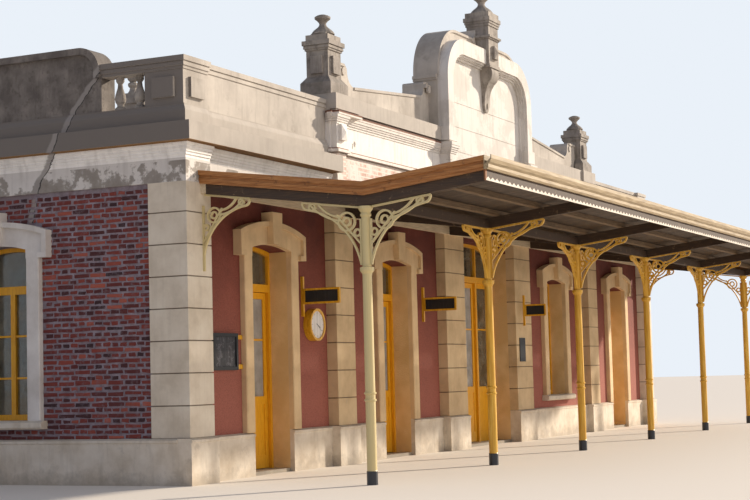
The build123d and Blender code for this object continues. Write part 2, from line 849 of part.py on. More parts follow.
def attic_parapets():
    """Low walls with a swept coping, a scroll against each pinnacle and a block against the pediment."""
    y0, y1 = low_wall_face, low_wall_face + low_wall_thickness
    a, b = -side_pilaster_x + pinnacle_width / 2, -back_slab_half
    lip, thick = y0 - low_wall_lip, low_wall_coping
    wall = across_y(low_wall_outline(), y0, y1)
    flat = block(a, a + scroll_reach - scroll_round, lip, y0 + 1, scroll_top - thick, scroll_top)
    x0, x1 = a + sweep_reach, b - end_block_width - sweep_cove
    sweep = along_y([(x0, sweep_low - thick), (x1, sweep_high - thick), (x1, sweep_high), (x0, sweep_low)], lip, y0 + 1)
    nose = y0 - end_block_projection
    end_block = block(b - end_block_width, b, nose, y0 + 1, sweep_high + sweep_cove, end_block_top - end_block_round)
    bosses = [Pos(x, y, z) * Cylinder(scroll_boss, low_wall_lip * 2, rotation=(90, 0, 0)) for x, y, z in (
        (a + scroll_reach - scroll_round - 30, y0, scroll_top - scroll_round - 10),
        (b - end_block_width / 2, nose, end_block_top - end_block_round - scroll_boss - 30))]
    left = joined([wall, flat, sweep, end_block] + bosses)
    return [left, left.mirror(Plane.YZ)]


def on_pier(half_x, half_y, x, y, steps, level):
    """Rectangular fillets on one another: each has its overhang and its foot and top."""
    return [block(x - half_x - out, x + half_x + out, y - half_y - out, y + half_y + out, level + low, level + high)
            for out, low, high in steps]


def dome_and_urn(scale, x, y, z):
    """Dome, neck, spreading bowl and knob, turned."""
    points = [(200, 0), (196, 22), (168, 58), (128, 92), (96, 116), (66, 150), (58, 178), (66, 205), (98, 240),
              (134, 268), (138, 300), (104, 322), (60, 338), (20, 346)]
    return turned([(r * scale, z + h * scale) for r, h in points], x, y, turned_sides)


def pinnacle():
    """The left pinnacle: flared foot, shaft with raised tablets, moulded cap, dome and urn."""
    w, d = pinnacle_width / 2, pinnacle_depth / 2
    x, y = -side_pilaster_x, front + pinnacle_setback + pinnacle_depth / 2
    f = pinnacle_flare
    foot = attic_band_top
    flare_foot = foot + pinnacle_foot_height
    flare_top = flare_foot + pinnacle_flare_height
    rings = [Wire.make_polygon([Vector(x + sx * (w + r), y + sy * (d + r), z)
                                for sx, sy in ((-1, -1), (1, -1), (1, 1), (-1, 1))], close=True)
             for r, z in ((f, flare_foot), (0, flare_top))]
    parts = [block(x - w - f, x + w + f, y - d - f, y + d + f, foot, flare_foot), Solid.make_loft(rings, ruled=True),
             block(x - w, x + w, y - d, y + d, flare_top, pinnacle_shaft_top)]
    t, half_panel = tablet_projection, pinnacle_panel_width / 2
    low, high = pinnacle_panel_top - pinnacle_panel_height, pinnacle_panel_top
    parts.append(block(x - half_panel, x + half_panel, y - d - t, y + d + t, low, high))
    parts.append(block(x - w - t, x, y - half_panel * 0.85, y + half_panel * 0.85, low, high))
    cap = [(18, 0, 30), (34, 30, 66), (24, 66, 80), (50, 80, 150), (4, 150, 244), (-56, 244, 272)]
    parts += on_pier(w, d, x, y, cap, pinnacle_shaft_top)
    top = pinnacle_shaft_top + cap[-1][2]
    parts.append(dome_and_urn(0.98 * d / 200, x, y, top))
    seat = block(x + w, x + w + f + 1, low_wall_face - low_wall_lip, wall_back + 1, foot - 1, scroll_top + 1)
    return one(joined(parts) - seat)


def pinnacles():
    """The two pinnacles over the attic's ends."""
    left = pinnacle()
    return [left, left.mirror(Plane.YZ)]


# Pediment

def shouldered(half_width, z0, top, radius):
    """An upright slab outline with round shoulders."""
    mid = radius * math.sqrt(0.5)
    a, b = -half_width, half_width
    return make_face([
        Line((a, z0), (b, z0)), Line((b, z0), (b, top - radius)),
        ThreePointArc((b, top - radius), (b - radius + mid, top - radius + mid), (b - radius, top)),
        Line((b - radius, top), (a + radius, top)),
        ThreePointArc((a + radius, top), (a + radius - mid, top - radius + mid), (a, top - radius)),
        Line((a, top - radius), (a, z0))])


def panel_outline(inset):
    """Outline of the sunk panel, drawn in from the border."""
    side = pediment_border + inset
    return shouldered(pediment_width / 2 - side, pediment_panel_foot + inset, pediment_top - pediment_top_border - inset,
                      pediment_radius - side)


def pediment_front():
    """Front slab with a panel sunk in steps, scored courses and pedestals at the attic's band."""
    y0, y1 = pediment_face, attic_face
    w = pediment_width / 2
    solid = across_y(shouldered(w, cornice_top, pediment_top, pediment_radius), y0, y1)
    for inset, sunk in ((0, 45), (34, 80), (52, 118), (84, 160)):
        solid = solid - across_y(panel_outline(inset), y0 - 1, y0 + sunk)
    field = y0 + 160
    level = attic_band_level - 115
    while level < pediment_top - pediment_radius:
        solid = solid - block(-w + pediment_border + 84, w - pediment_border - 84, field - 1, field + 8,
                              level, level + pediment_joint_size)
        level += pediment_joint
    for sign in (-1, 1):
        x0, x1 = sorted((sign * w, sign * (w - pediment_border)))
        for part in wrapped(x0, x1, y0, string_steps, string_level, y1) + wrapped(x0, x1, y0, cornice_steps,
                                                                                     attic_cornice_level, y1):
            solid = solid + part
        solid = solid + block(x0 - pediment_foot_reach, x1 + pediment_foot_reach, y0 - pedestal_projection, y1,
                              attic_band_level, attic_band_top)
    gap = pier_width / 2
    return [one(solid - block(-gap, gap, y0 - 1, y1 + 1, pier_foot, pediment_top + 1) - pier_console())]


def pediment_back():
    """Rear slab that stands above the front one, with a bead, a moulding at its sides and coves at the pier."""
    y1, y2 = attic_face, attic_face + back_slab_thickness
    w, top = back_slab_half, back_slab_top
    outline = shouldered(w, attic_band_top, top, back_slab_radius)
    slab = across_y(outline, y1, y2)
    bead = across_y(outline, y1 - back_bead_projection, y1)
    bead = bead - across_y(shouldered(w - back_bead, attic_band_top - 1, top - back_bead, back_slab_radius - back_bead),
                           y1 - back_bead_projection - 1, y1)
    level = back_moulding_level
    bead = bead - block(-w - 1, w + 1, y1 - 100, y1, attic_band_top - 1, level + 95)
    bead = bead - block(-back_bead_end, back_bead_end, y1 - 100, y1, top - 200, top + 1)
    bead = bead - across_y(shouldered(pediment_width / 2, cornice_top, pediment_top, pediment_radius), y1 - 100, y1)
    for part in bead.solids():
        slab = slab + part
    for sign in (-1, 1):
        for out, low, high in ((28, 0, 38), (50, 38, 95)):
            lo, hi = sorted((sign * (w - 60), sign * (w + out)))
            slab = slab + block(lo, hi, y1, y2, level + low, level + high)
        boss = Pos(sign * back_bead_end, y1, top - back_bead) * Cylinder(back_bead, back_bead_projection * 2, rotation=(90, 0, 0))
        slab = slab + boss
    gap = pier_width / 2
    reach = gap + back_cove
    mid = back_cove * math.sqrt(0.5)
    rise = make_face([
        Line((-reach, top - 1), (reach, top - 1)), Line((reach, top - 1), (reach, top)),
        ThreePointArc((reach, top), (reach - mid, top + back_cove - mid), (gap, top + back_cove)),
        Line((gap, top + back_cove), (-gap, top + back_cove)),
        ThreePointArc((-gap, top + back_cove), (-reach + mid, top + back_cove - mid), (-reach, top)),
        Line((-reach, top), (-reach, top - 1))])
    slab = slab + across_y(rise, y1, y2)
    back = pediment_face - pier_projection + pier_depth
    return [one(slab - block(-gap, gap, y1 - 100, back, pier_foot, top + back_cove + 1))]


def pier_console():
    """Scrolled console under the pier, tapering to a pierced drop."""
    y0 = pediment_face
    field = y0 + 160
    nose = y0 - pier_projection
    side = make_face([
        Line((field, console_foot), (field, pier_foot)), Line((field, pier_foot), (nose, pier_foot)),
        ThreePointArc((nose, pier_foot), (nose - 22, pier_foot - 110), (y0, pier_foot - 270)),
        ThreePointArc((y0, pier_foot - 270), (y0 + 72, pier_foot - 420), (y0 + 100, pier_foot - 600)),
        Line((y0 + 100, pier_foot - 600), (y0 + 112, console_foot)), Line((y0 + 112, console_foot), (field, console_foot))])
    w, f = console_width / 2, console_foot_width / 2
    solid = across_x(side, -w, w)
    front_view = make_face([
        Line((-w, pier_foot), (w, pier_foot)), ThreePointArc((w, pier_foot), (w - 8, pier_foot - 190), (w - 50, pier_foot - 380)),
        Line((w - 50, pier_foot - 380), (f + 55, console_foot + 110)), Line((f + 55, console_foot + 110), (f, console_foot)),
        Line((f, console_foot), (-f, console_foot)), Line((-f, console_foot), (-f - 55, console_foot + 110)),
        Line((-f - 55, console_foot + 110), (-w + 50, pier_foot - 380)),
        ThreePointArc((-w + 50, pier_foot - 380), (-w + 8, pier_foot - 190), (-w, pier_foot))])
    solid = solid & across_y(front_view, nose - 100, field)
    drop = across_y(Pos(0, console_foot + 105) * Ellipse(34, 62), nose - 100, y0 + 138)
    return one(solid - drop)


def pediment_pier():
    """Centre pier that breaks through the pediment: console, shaft, mouldings, diamond block, cap, dome and urn."""
    y0 = pediment_face
    nose = y0 - pier_projection
    back = nose + pier_depth
    w = pier_width / 2
    parts = [block(-w, w, nose, back, pier_foot, pier_shaft_top), pier_console()]
    parts.append(block(-w - 28, w + 28, nose - 28, y0, pier_foot, pier_foot + 34))
    parts.append(block(-w - 14, w + 14, nose - 14, y0, pier_foot + 34, pier_foot + 70))
    parts.append(block(-w - 46, w + 46, nose - 46, attic_face, pier_neck_level + 26, pier_neck_level + 64))
    parts.append(block(-w - 22, w + 22, nose - 22, attic_face, pier_neck_level, pier_neck_level + 26))
    parts.append(diamond_block(0, nose, pier_panel_level))
    cap = [(16, 0, 46), (30, 46, 90), (46, 90, 164), (18, 164, 258)]
    yc = (nose + back) / 2
    parts += on_pier(w, pier_depth / 2, 0, yc, cap, pier_shaft_top)
    parts.append(dome_and_urn(1.1, 0, yc, pier_shaft_top + cap[-1][2]))
    return [joined(parts)]


def ball_finials():
    """Pedestals with a ring and a ball on the rear parapet."""
    y = bay_face + parapet_setback + parapet_thickness / 2
    foot = parapet_top
    neck = foot + ball_finial_height
    r = ball_radius
    parts = on_pier(ball_finial_post, ball_finial_post, ball_finial_x, y, [(0, 0, ball_finial_height)], foot)
    parts += on_pier(ball_finial_post, ball_finial_post, ball_finial_x, y, [(40, 0, 100), (-10, 100, 200)], neck)
    stem = [(r, 0), (0.64 * r, 60), (0.55 * r, 110), (0.86 * r, 150), (0.86 * r, 190), (0.5 * r, 220)]
    ball = [(r * math.sin(math.pi * share), r - r * math.cos(math.pi * share)) for share in
            (0.15, 0.25, 0.35, 0.45, 0.55, 0.65, 0.75, 0.85, 0.95)]
    foot_of_ball = neck + 200 + 220 - ball[0][1] + 2
    parts.append(turned([(rad, neck + 200 + z) for rad, z in stem] + [(rad, foot_of_ball + z) for rad, z in ball],
                        ball_finial_x, y, turned_sides))
    solid = joined(parts)
    return [to_rear(solid), to_rear(solid.mirror(Plane.YZ))]


def roof_slab():
    """The flat roof between the entablatures."""
    reach = half - end_projection - wall_thickness
    return [block(-reach, reach, wall_back, -wall_back, frieze_top, cornice_top)]


# Joinery

def door_posts():
    """Upright frame posts of the doorways and the mullions of the centre entrance."""
    top = transom_bottom
    solids = []
    for x in door_xs:
        for sign in (-1, 1):
            a, b = sorted((x + sign * door_width / 2, x + sign * (door_width / 2 - frame_width)))
            solids.append(block(a, b, frame_front, frame_back, floor_level, top))
    for a, b in ((-inner_half, -inner_half + frame_width), (inner_half - frame_width, inner_half),
                 (-centre_leaf_width / 2 - mullion_width, -centre_leaf_width / 2),
                 (centre_leaf_width / 2, centre_leaf_width / 2 + mullion_width)):
        solids.append(block(a, b, frame_front, frame_back, floor_level, centre_transom_bottom))
    return solids


def fanlight(x, width, transom, spring, rise, bars):
    """Transom and arched light over a doorway."""
    outer = across_y(arched_sketch(x, width, transom, spring, rise), frame_front, frame_back)
    f = frame_width
    low = transom + transom_height
    inner = across_y(arched_sketch(x, width - 2 * f, low, spring - f, rise), frame_front - 1, frame_back + 1)
    solid = outer - inner
    for bar in bars:
        solid = solid + (block(bar - f / 2, bar + f / 2, frame_front, frame_back, low - 1, spring + rise - f) & outer)
    return one(solid)


def fanlight_frames():
    """Arched lights over the doorways."""
    solids = [fanlight(x, door_width, transom_bottom, arch_spring, arch_rise, [x]) for x in door_xs]
    bar = centre_leaf_width / 2 + mullion_width / 2
    solids.append(fanlight(0.0, centre_opening_width, centre_transom_bottom, centre_spring, centre_rise, [-bar, bar]))
    return solids


def fanlight_panes(x, width, transom, spring, rise, bars):
    """Glass of an arched light, one pane each side of its bars."""
    f = frame_width
    low = transom + transom_height
    y = (frame_front + frame_back) / 2
    whole = across_y(arched_sketch(x, width - 2 * f, low, spring - f, rise), y, y + glass_thickness)
    for bar in bars:
        whole = whole - block(bar - f / 2, bar + f / 2, y - 1, y + glass_thickness + 1, low - 1, spring + rise)
    return list(whole.solids())


def window_frame(x, width):
    """A casement window: frame, mullion, transom and glazing bars, with an arched head."""
    f = frame_width
    y0, y1 = frame_front, frame_front + window_frame_depth
    outer = across_y(arched_sketch(x, width, sill_height, arch_spring, arch_rise), y0, y1)
    solid = outer - across_y(arched_sketch(x, width - 2 * f, sill_height + f * 1.4, arch_spring - f, arch_rise), y0 - 1, y1 + 1)
    t0 = transom_bottom
    bars = block(x - width / 2 + 1, x + width / 2 - 1, y0, y1, t0, t0 + transom_height)
    bars = bars + block(x - f * 0.7, x + f * 0.7, y0, y1, sill_height + 1, t0 + 1)
    for sign in (-1, 1):
        for part in (1, 2):
            z = sill_height + (t0 - sill_height) * part / 3
            a, b = sorted((x, x + sign * (width / 2 - 1)))
            bars = bars + block(a, b, y0 + 15, y1 - 15, z - muntin / 2, z + muntin / 2)
    return one(solid + (bars & outer))


def window_frames():
    """Frames of all windows."""
    solids = [window_frame(front_window_x, door_width)]
    solids += [to_rear(window_frame(x, window_width)) for x in rear_window_xs]
    return solids + [end_piece(window_frame(0.0, window_width), side) for side in (-1, 1)]


def window_glass(x, width):
    """Panes of a casement window, seated between its bars."""
    y = frame_front + window_frame_depth / 2
    f = frame_width
    whole = across_y(arched_sketch(x, width - 2 * f, sill_height + f * 1.4, arch_spring - f, arch_rise), y, y + glass_thickness)
    whole = whole - window_frame(x, width)
    return list(whole.solids())


def fixed_glass():
    """Glass of the arched lights, the windows and the fixed side doors of the centre entrance."""
    panes = []
    for x in door_xs:
        panes += fanlight_panes(x, door_width, transom_bottom, arch_spring, arch_rise, [x])
    bar = centre_leaf_width / 2 + mullion_width / 2
    panes += fanlight_panes(0.0, centre_opening_width, centre_transom_bottom, centre_spring, centre_rise, [-bar, bar])
    panes += window_glass(front_window_x, door_width)
    for x in rear_window_xs:
        panes += [to_rear(p) for p in window_glass(x, window_width)]
    for side in (-1, 1):
        panes += [end_piece(p, side) for p in window_glass(0.0, window_width)]
    for a, b in side_leaf_spans():
        panes += leaf_panes(a, b, floor_level, centre_transom_bottom)
    return panes


def leaf_light(a, b, foot, top):
    """Edges of the glazed light of a leaf and of its panel."""
    return a + stile_width, b - stile_width, foot + lock_rail_level + lock_rail, top - top_rail


def leaf_frame(a, b, foot, top):
    """A leaf with stiles, rails, a glazing bar and a recessed bottom panel."""
    y0, y1 = frame_back - leaf_thickness, frame_back
    left, right, low, high = leaf_light(a, b, foot, top)
    solid = block(a, b, y0, y1, foot, top)
    solid = solid - block(left, right, y0 - 1, y1 + 1, low, high)
    panel_low, panel_high = foot + bottom_rail, foot + lock_rail_level
    recess = (leaf_thickness - panel_thickness) / 2
    solid = solid - block(left, right, y0 - 1, y0 + recess, panel_low, panel_high)
    solid = solid - block(left, right, y1 - recess, y1 + 1, panel_low, panel_high)
    z = low + (high - low) * 0.58
    solid = solid + block(left - 1, right + 1, y0 + 8, y1 - 8, z - muntin / 2, z + muntin / 2)
    return one(solid)


def leaf_panes(a, b, foot, top):
    """The two panes of a leaf."""
    left, right, low, high = leaf_light(a, b, foot, top)
    y = frame_back - leaf_thickness / 2 - glass_thickness / 2
    z = low + (high - low) * 0.58
    return [block(left, right, y, y + glass_thickness, low, z - muntin / 2),
            block(left, right, y, y + glass_thickness, z + muntin / 2, high)]


def side_leaf_spans():
    """Edges of the two fixed leaves of the centre entrance."""
    a, b = centre_leaf_width / 2 + mullion_width, inner_half - frame_width
    return [(-b, -a), (a, b)]


def side_leaves():
    """The fixed leaves each side of the centre leaf."""
    return [leaf_frame(a, b, floor_level, centre_transom_bottom) for a, b in side_leaf_spans()]


def hinged_leaf(hinge_x, direction, width, top):
    """A hinged leaf with its three knuckles: direction 1 when it reaches to +X from its hinge."""
    foot = floor_level + foot_gap
    head = top - foot_gap
    near = hinge_x + direction * leaf_gap
    far = near + direction * width
    a, b = sorted((near, far))
    solid = leaf_frame(a, b, foot, head)
    y = frame_back + seat_gap + knuckle_radius
    for share in (0.12, 0.5, 0.88):
        z = foot + (head - foot) * share
        barrel = Pos(hinge_x, y, z) * Cylinder(knuckle_radius, knuckle_length)
        lo, hi = sorted((hinge_x, hinge_x + direction * 45))
        flap = block(lo, hi, frame_back + seat_gap + 2, y, z - knuckle_length / 2, z + knuckle_length / 2)
        lo, hi = sorted((near, hinge_x + direction * 45))
        foot_plate = block(lo, hi, frame_back - 1, y, z - knuckle_length / 2, z + knuckle_length / 2)
        solid = solid + barrel + flap + foot_plate
    return one(solid), leaf_panes(a, b, foot, head)


def leaf_width():
    """Width of one leaf of a double door."""
    return (door_width - 2 * frame_width - 2 * leaf_gap - meeting_gap) / 2


def door_leaves():
    """Names and solids of every hinged leaf."""
    found = {}
    for number, x in zip((1, 2, 3), door_xs):
        reach = door_width / 2 - frame_width
        found[f"door_{number}_left"] = hinged_leaf(x - reach, 1, leaf_width(), transom_bottom)
        found[f"door_{number}_right"] = hinged_leaf(x + reach, -1, leaf_width(), transom_bottom)
    width = centre_leaf_width - 2 * leaf_gap
    found["centre_door"] = hinged_leaf(-centre_leaf_width / 2, 1, width, centre_transom_bottom)
    return found


# Canopy

def canopy_level(y, rise):
    """Height of a line that follows the canopy, rise above the underside of its rafters."""
    d = abs(y - column_y)
    slope = inner_slope if y > column_y else outer_slope
    return canopy_valley_level + slope * d + rise


def band_outline(y0, y1, low, high):
    """A sloping strip between two depths on one wing of the canopy."""
    return [(y0, canopy_level(y0, low)), (y1, canopy_level(y1, low)), (y1, canopy_level(y1, high)), (y0, canopy_level(y0, high))]


def wing_outline(y_wall, y_edge, low, high):
    """A strip that bends at the valley over the columns."""
    lower = [(y, canopy_level(y, low)) for y in (y_wall, column_y, y_edge)]
    upper = [(y, canopy_level(y, high)) for y in (y_edge, column_y, y_wall)]
    return lower + upper


def wall_plate():
    """Timber plate on the pilasters that carries the inner ends of the rafters."""
    z0, z1 = canopy_level(front, 0), canopy_level(front, rafter_height)
    return [block(column_xs[0] - rafter_width / 2, column_xs[-1] + rafter_width / 2, front - plate_thickness, front, z0, z1)]


def rafters():
    """Rafters over the columns, bent at the valley."""
    outline = wing_outline(front - plate_thickness, canopy_y, 0, rafter_height)
    return [along_x(outline, x - rafter_width / 2, x + rafter_width / 2) for x in column_xs]


def valley_beams():
    """Beams along the column line between the rafters."""
    z = canopy_valley_level
    return [block(a + rafter_width / 2, b - rafter_width / 2, column_y - beam_width / 2, column_y + beam_width / 2,
                  z, z + beam_height - 30) for a, b in zip(column_xs, column_xs[1:])]


def purlin_ys():
    """Depths of the purlins on both wings."""
    inner = [column_y + canopy_column_line * s for s in (0.1, 0.38, 0.66, 0.93)]
    outer = [column_y - (canopy_edge - canopy_column_line) * s for s in (0.12, 0.5, 0.9)]
    return inner + outer


def purlins():
    """Purlins on the rafters, from end to end."""
    h = purlin_size / 2
    return [along_x(band_outline(y - h, y + h, rafter_height, rafter_height + purlin_size),
                    column_xs[0] - rafter_width / 2, column_xs[-1] + rafter_width / 2) for y in purlin_ys()]


def canopy_sheets():
    """Roof sheets of the inner and the outer wing."""
    z0 = rafter_height + purlin_size
    a, b = column_xs[0] - rafter_width / 2, column_xs[-1] + rafter_width / 2
    inner = along_x(band_outline(column_y + 20, front - 10, z0, z0 + sheet_thickness), a, b)
    outer = along_x(band_outline(canopy_y + 10, column_y - 20, z0, z0 + sheet_thickness), a, b)
    return [inner, outer]


def end_fascias():
    """Moulded boards that follow the wings at both ends of the canopy."""
    solids = []
    for side in (-1, 1):
        edge = side * (abs(column_xs[0]) + rafter_width / 2)
        low, high = rafter_height - 10, rafter_height - 10 + fascia_height
        board = along_x(wing_outline(front - 2, canopy_y, low, high), *sorted((edge, edge + side * fascia_thickness * 0.5)))
        lip = along_x(wing_outline(front - 2, canopy_y, high - 60, high), *sorted((edge, edge + side * fascia_thickness)))
        bead = along_x(wing_outline(front - 2, canopy_y, low + 35, low + 70), *sorted((edge, edge + side * fascia_thickness * 0.75)))
        solids.append(one(board + lip + bead))
    return solids


def front_gutter():
    """Moulded gutter along the outer edge."""
    edge = abs(column_xs[0]) + rafter_width / 2 + fascia_thickness
    high = canopy_level(canopy_y, rafter_height - 10 + fascia_height)
    low = high - gutter_height
    y = canopy_y
    outline = [(y, low), (y - 45, low), (y - 60, low + 25), (y - 60, low + 60), (y - 85, low + 85), (y - gutter_depth, high - 45),
               (y - gutter_depth, high), (y - gutter_depth + 12, high), (y - gutter_depth + 12, high - 40), (y - 12, low + 60),
               (y - 12, high), (y, high)]
    return [along_x(outline, -edge, edge)]


def eaves_strip():
    """Strip under the gutter, on the ends of the rafters."""
    edge = abs(column_xs[0]) + rafter_width / 2 + fascia_thickness
    z = canopy_level(canopy_y, 0)
    high = canopy_level(canopy_y, rafter_height - 10 + fascia_height) - gutter_height
    return [block(-edge, edge, canopy_y - strip_thickness, canopy_y, z, high)]


def column(x):
    """Cast column: round foot, tapered shaft with a double ring, collar and capital."""
    r = column_radius
    top = canopy_valley_level
    t = shaft_top_radius
    outline = [(column_base_radius, 0), (column_base_radius, column_base_height - 10), (r, column_base_height),
               (r, ring_level - 45), (r + 14, ring_level - 35), (r + 14, ring_level - 20), (r, ring_level - 10),
               (r, ring_level + 40), (r + 14, ring_level + 50), (r + 14, ring_level + 65), (r, ring_level + 75),
               (r - 4, collar_level - 120), (r - 2, collar_level - 90), (r + 26, collar_level - 50), (r + 26, collar_level - 10),
               (t, collar_level), (t, top - capital_height - 50), (t + 14, top - capital_height - 38),
               (t + 14, top - capital_height - 20), (t + 4, top - capital_height), (t + capital_reach, top - capital_height * 0.4),
               (t + capital_reach, top)]
    return turned(outline, x, column_y, column_sides)


def canopy_columns():
    """The row of columns."""
    return [column(x) for x in column_xs]


def bracket_lines(reach, drop, slope):
    """Centre lines and rings of the scrollwork of a bracket, in X (outward) and Z (down from the beam)."""
    bar = scroll_bar
    rail = -bar / 2 - seat_gap
    rail_start = capital_reach + 1

    def at(u, v):
        return (u * reach, -v * drop + slope * u * reach * (1 - v))

    foot = (bar / 2, -drop)
    tip = (reach, rail + slope * reach)
    lines = [
        Line((rail_start, rail + slope * rail_start), tip),
        Line((bar / 2, -capital_height - 50 - bar), foot),
        ThreePointArc(foot, at(0.36, 0.34), at(0.93, 0.115)),
        ThreePointArc(at(0.93, 0.115), at(0.985, 0.075), tip),
        Line(at(0.42, 0.17), at(0.03, 0.62)),
        ThreePointArc(at(0.38, 0.2), at(0.6, 0.13), at(0.72, 0.02)),
        ThreePointArc(at(0.36, 0.26), at(0.64, 0.19), at(0.86, 0.04)),
    ]
    rings = [(at(0.25, 0.27), reach * 0.135), (at(0.25, 0.27), reach * 0.06), (at(0.83, 0.07), reach * 0.05),
             ((bar + reach * 0.045, -0.44 * drop), reach * 0.05)]
    return lines, rings


def bracket(reach, drop, slope):
    """A cast bracket plate standing along X with its middle on Y=0 and its top corner at the origin."""
    lines, rings = bracket_lines(reach, drop, slope)
    y0, y1 = -bracket_plate / 2, bracket_plate / 2
    bars = []
    for line in lines:
        with BuildSketch() as strip:
            with BuildLine():
                add(line)
            trace(line_width=scroll_bar)
        bars.append(across_y(strip.sketch, y0, y1))
    for centre, radius in rings:
        ring = Circle(radius + scroll_bar / 2) - Circle(radius - scroll_bar / 2)
        bars.append(across_y(Pos(*centre) * ring, y0, y1))
    far = reach + 100
    clear = along_y([(0, -drop), (far, -drop), (far, slope * far - seat_gap), (0, -seat_gap)],
                    -bracket_plate, bracket_plate)
    return one(joined(bars) & clear)


def bracket_at(x, y, z, angle, reach, drop, slope):
    """A bracket turned about the upright axis and set at its beam."""
    return Pos(x, y, z) * Rot(0, 0, angle) * bracket(reach, drop, slope)


def cross_brackets():
    """Brackets under the rafters: outward at every column, inward at the end columns."""
    z = canopy_valley_level
    offset_out = shaft_top_radius
    solids = []
    for i, x in enumerate(column_xs):
        solids.append(bracket_at(x, column_y - offset_out, z, -90, bracket_reach, bracket_drop, outer_slope))
        if i in (0, column_count - 1):
            solids.append(bracket_at(x, column_y + offset_out, z, 90, bracket_reach, bracket_drop, inner_slope))
    return solids + wall_brackets()


def along_brackets():
    """Brackets under the valley beams, both ways from the inner columns."""
    z = canopy_valley_level
    offset_out = shaft_top_radius
    solids = []
    for x in column_xs[1:-1]:
        solids.append(bracket_at(x + offset_out, column_y, z, 0, bracket_reach, bracket_drop, 0.0))
        solids.append(bracket_at(x - offset_out, column_y, z, 180, bracket_reach, bracket_drop, 0.0))
    return solids


def wall_brackets():
    """Brackets on the corner piers under the end rafters."""
    z = canopy_level(front, 0)
    return [bracket_at(x, front, z, -90, wall_bracket_reach, wall_bracket_drop, -inner_slope)
            for x in (column_xs[0], column_xs[-1])]


# Fittings

def clock():
    """Round wall clock: case with a stepped rim."""
    x, z = clock_x, clock_level
    case = Pos(x, wall_front - clock_depth / 2, z) * Cylinder(clock_radius, clock_depth, rotation=(90, 0, 0))
    well = Pos(x, wall_front - clock_depth, z) * Cylinder(clock_radius - 35, 30, rotation=(90, 0, 0))
    return [one(case - well)]


def notice_board():
    """Framed board on the wall by the corner."""
    a, b = notice_left, notice_left + notice_width_share * bay_margin
    y = wall_front - notice_depth
    frame = block(a, b, y, wall_front, notice_foot, notice_foot + notice_height)
    well = block(a + 45, b - 45, y - 1, y + 20, notice_foot + 45, notice_foot + notice_height - 45)
    return [one(frame - well)]


def sign_board(x, face):
    """Framed board that stands out from the wall on an upright bar."""
    z = sign_level
    out = front - sign_reach
    bar = block(x - 20, x + 20, face - 40, face, z - sign_bar_length / 2, z + sign_bar_length / 2)
    board = block(x - 22, x + 22, out, face - 39, z - sign_height / 2, z + sign_height / 2)
    solid = bar + board
    for sign in (-1, 1):
        a, b = sorted((x + sign * 13, x + sign * 23))
        solid = solid - block(a, b, out + 28, face - 68, z - sign_height / 2 + 28, z + sign_height / 2 - 28)
    return one(solid)


def sign_boards():
    """The three boards that stand out from the front."""
    return [sign_board(x, face) for x, face in sign_places]


def wall_plaque():
    """Bare plaque on the pier right of the centre entrance."""
    x = centre_pilaster_x - plaque_offset
    return [block(x, x + plaque_width, front - plaque_depth, front, plaque_foot, plaque_foot + plaque_height)]


def wall_boards():
    """The flat boards on the front."""
    return notice_board() + wall_plaque()


pieces = {
    "floor_slab": floor_slab, "thresholds": thresholds, "wall_heads": wall_heads, "wall_aprons": wall_aprons,
    "end_wall_piers": end_wall_piers, "pilasters": pilasters, "plinths": plinths,
    "surround_jambs": surround_jambs, "arched_hoods": arched_hoods, "window_sills": window_sills,
    "long_cornices": long_cornices, "end_cornices": end_cornices, "long_parapets": long_parapets,
    "end_parapets": end_parapets, "balustrade_rails": balustrade_rails, "balusters": balusters,
    "attic_wall": attic_wall, "attic_parapets": attic_parapets, "pinnacles": pinnacles,
    "pediment_front": pediment_front, "pediment_back": pediment_back, "pediment_pier": pediment_pier,
    "ball_finials": ball_finials, "roof_slab": roof_slab, "door_posts": door_posts,
    "fanlight_frames": fanlight_frames, "window_frames": window_frames, "fixed_glass": fixed_glass,
    "side_leaves": side_leaves, "wall_plate": wall_plate, "rafters": rafters, "valley_beams": valley_beams,
    "purlins": purlins, "canopy_sheets": canopy_sheets, "end_fascias": end_fascias, "front_gutter": front_gutter,
    "eaves_strip": eaves_strip, "canopy_columns": canopy_columns, "cross_brackets": cross_brackets,
    "along_brackets": along_brackets, "clock": clock,
    "wall_boards": wall_boards, "sign_boards": sign_boards,
}

save("front_wall_piers", wall_piers(front_openings()))
save("rear_wall_piers", [to_rear(s) for s in wall_piers(openings_of(rear_window_xs, window_width))])
for name, make in pieces.items():
    save(name, make())
for name, (frame_solid, panes) in door_leaves().items():
    save(f"{name}_leaf", [frame_solid])
    save(f"{name}_glass", panes)
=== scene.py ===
import math
import bpy
import numpy as np
from mathutils import Matrix, Vector


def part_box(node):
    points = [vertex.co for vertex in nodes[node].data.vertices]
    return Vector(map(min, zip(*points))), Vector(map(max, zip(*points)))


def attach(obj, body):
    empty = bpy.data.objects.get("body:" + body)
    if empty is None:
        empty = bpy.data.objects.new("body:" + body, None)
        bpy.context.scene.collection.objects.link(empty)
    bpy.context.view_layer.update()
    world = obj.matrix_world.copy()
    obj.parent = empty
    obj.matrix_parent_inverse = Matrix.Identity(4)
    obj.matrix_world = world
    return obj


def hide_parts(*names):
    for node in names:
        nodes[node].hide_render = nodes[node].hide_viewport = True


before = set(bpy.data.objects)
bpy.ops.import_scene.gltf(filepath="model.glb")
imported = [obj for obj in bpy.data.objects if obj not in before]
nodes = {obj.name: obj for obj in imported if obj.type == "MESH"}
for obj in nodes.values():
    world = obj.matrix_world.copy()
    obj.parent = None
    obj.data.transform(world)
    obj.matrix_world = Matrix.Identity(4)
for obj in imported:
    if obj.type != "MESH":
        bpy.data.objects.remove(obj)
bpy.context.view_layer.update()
print("frame loaded")


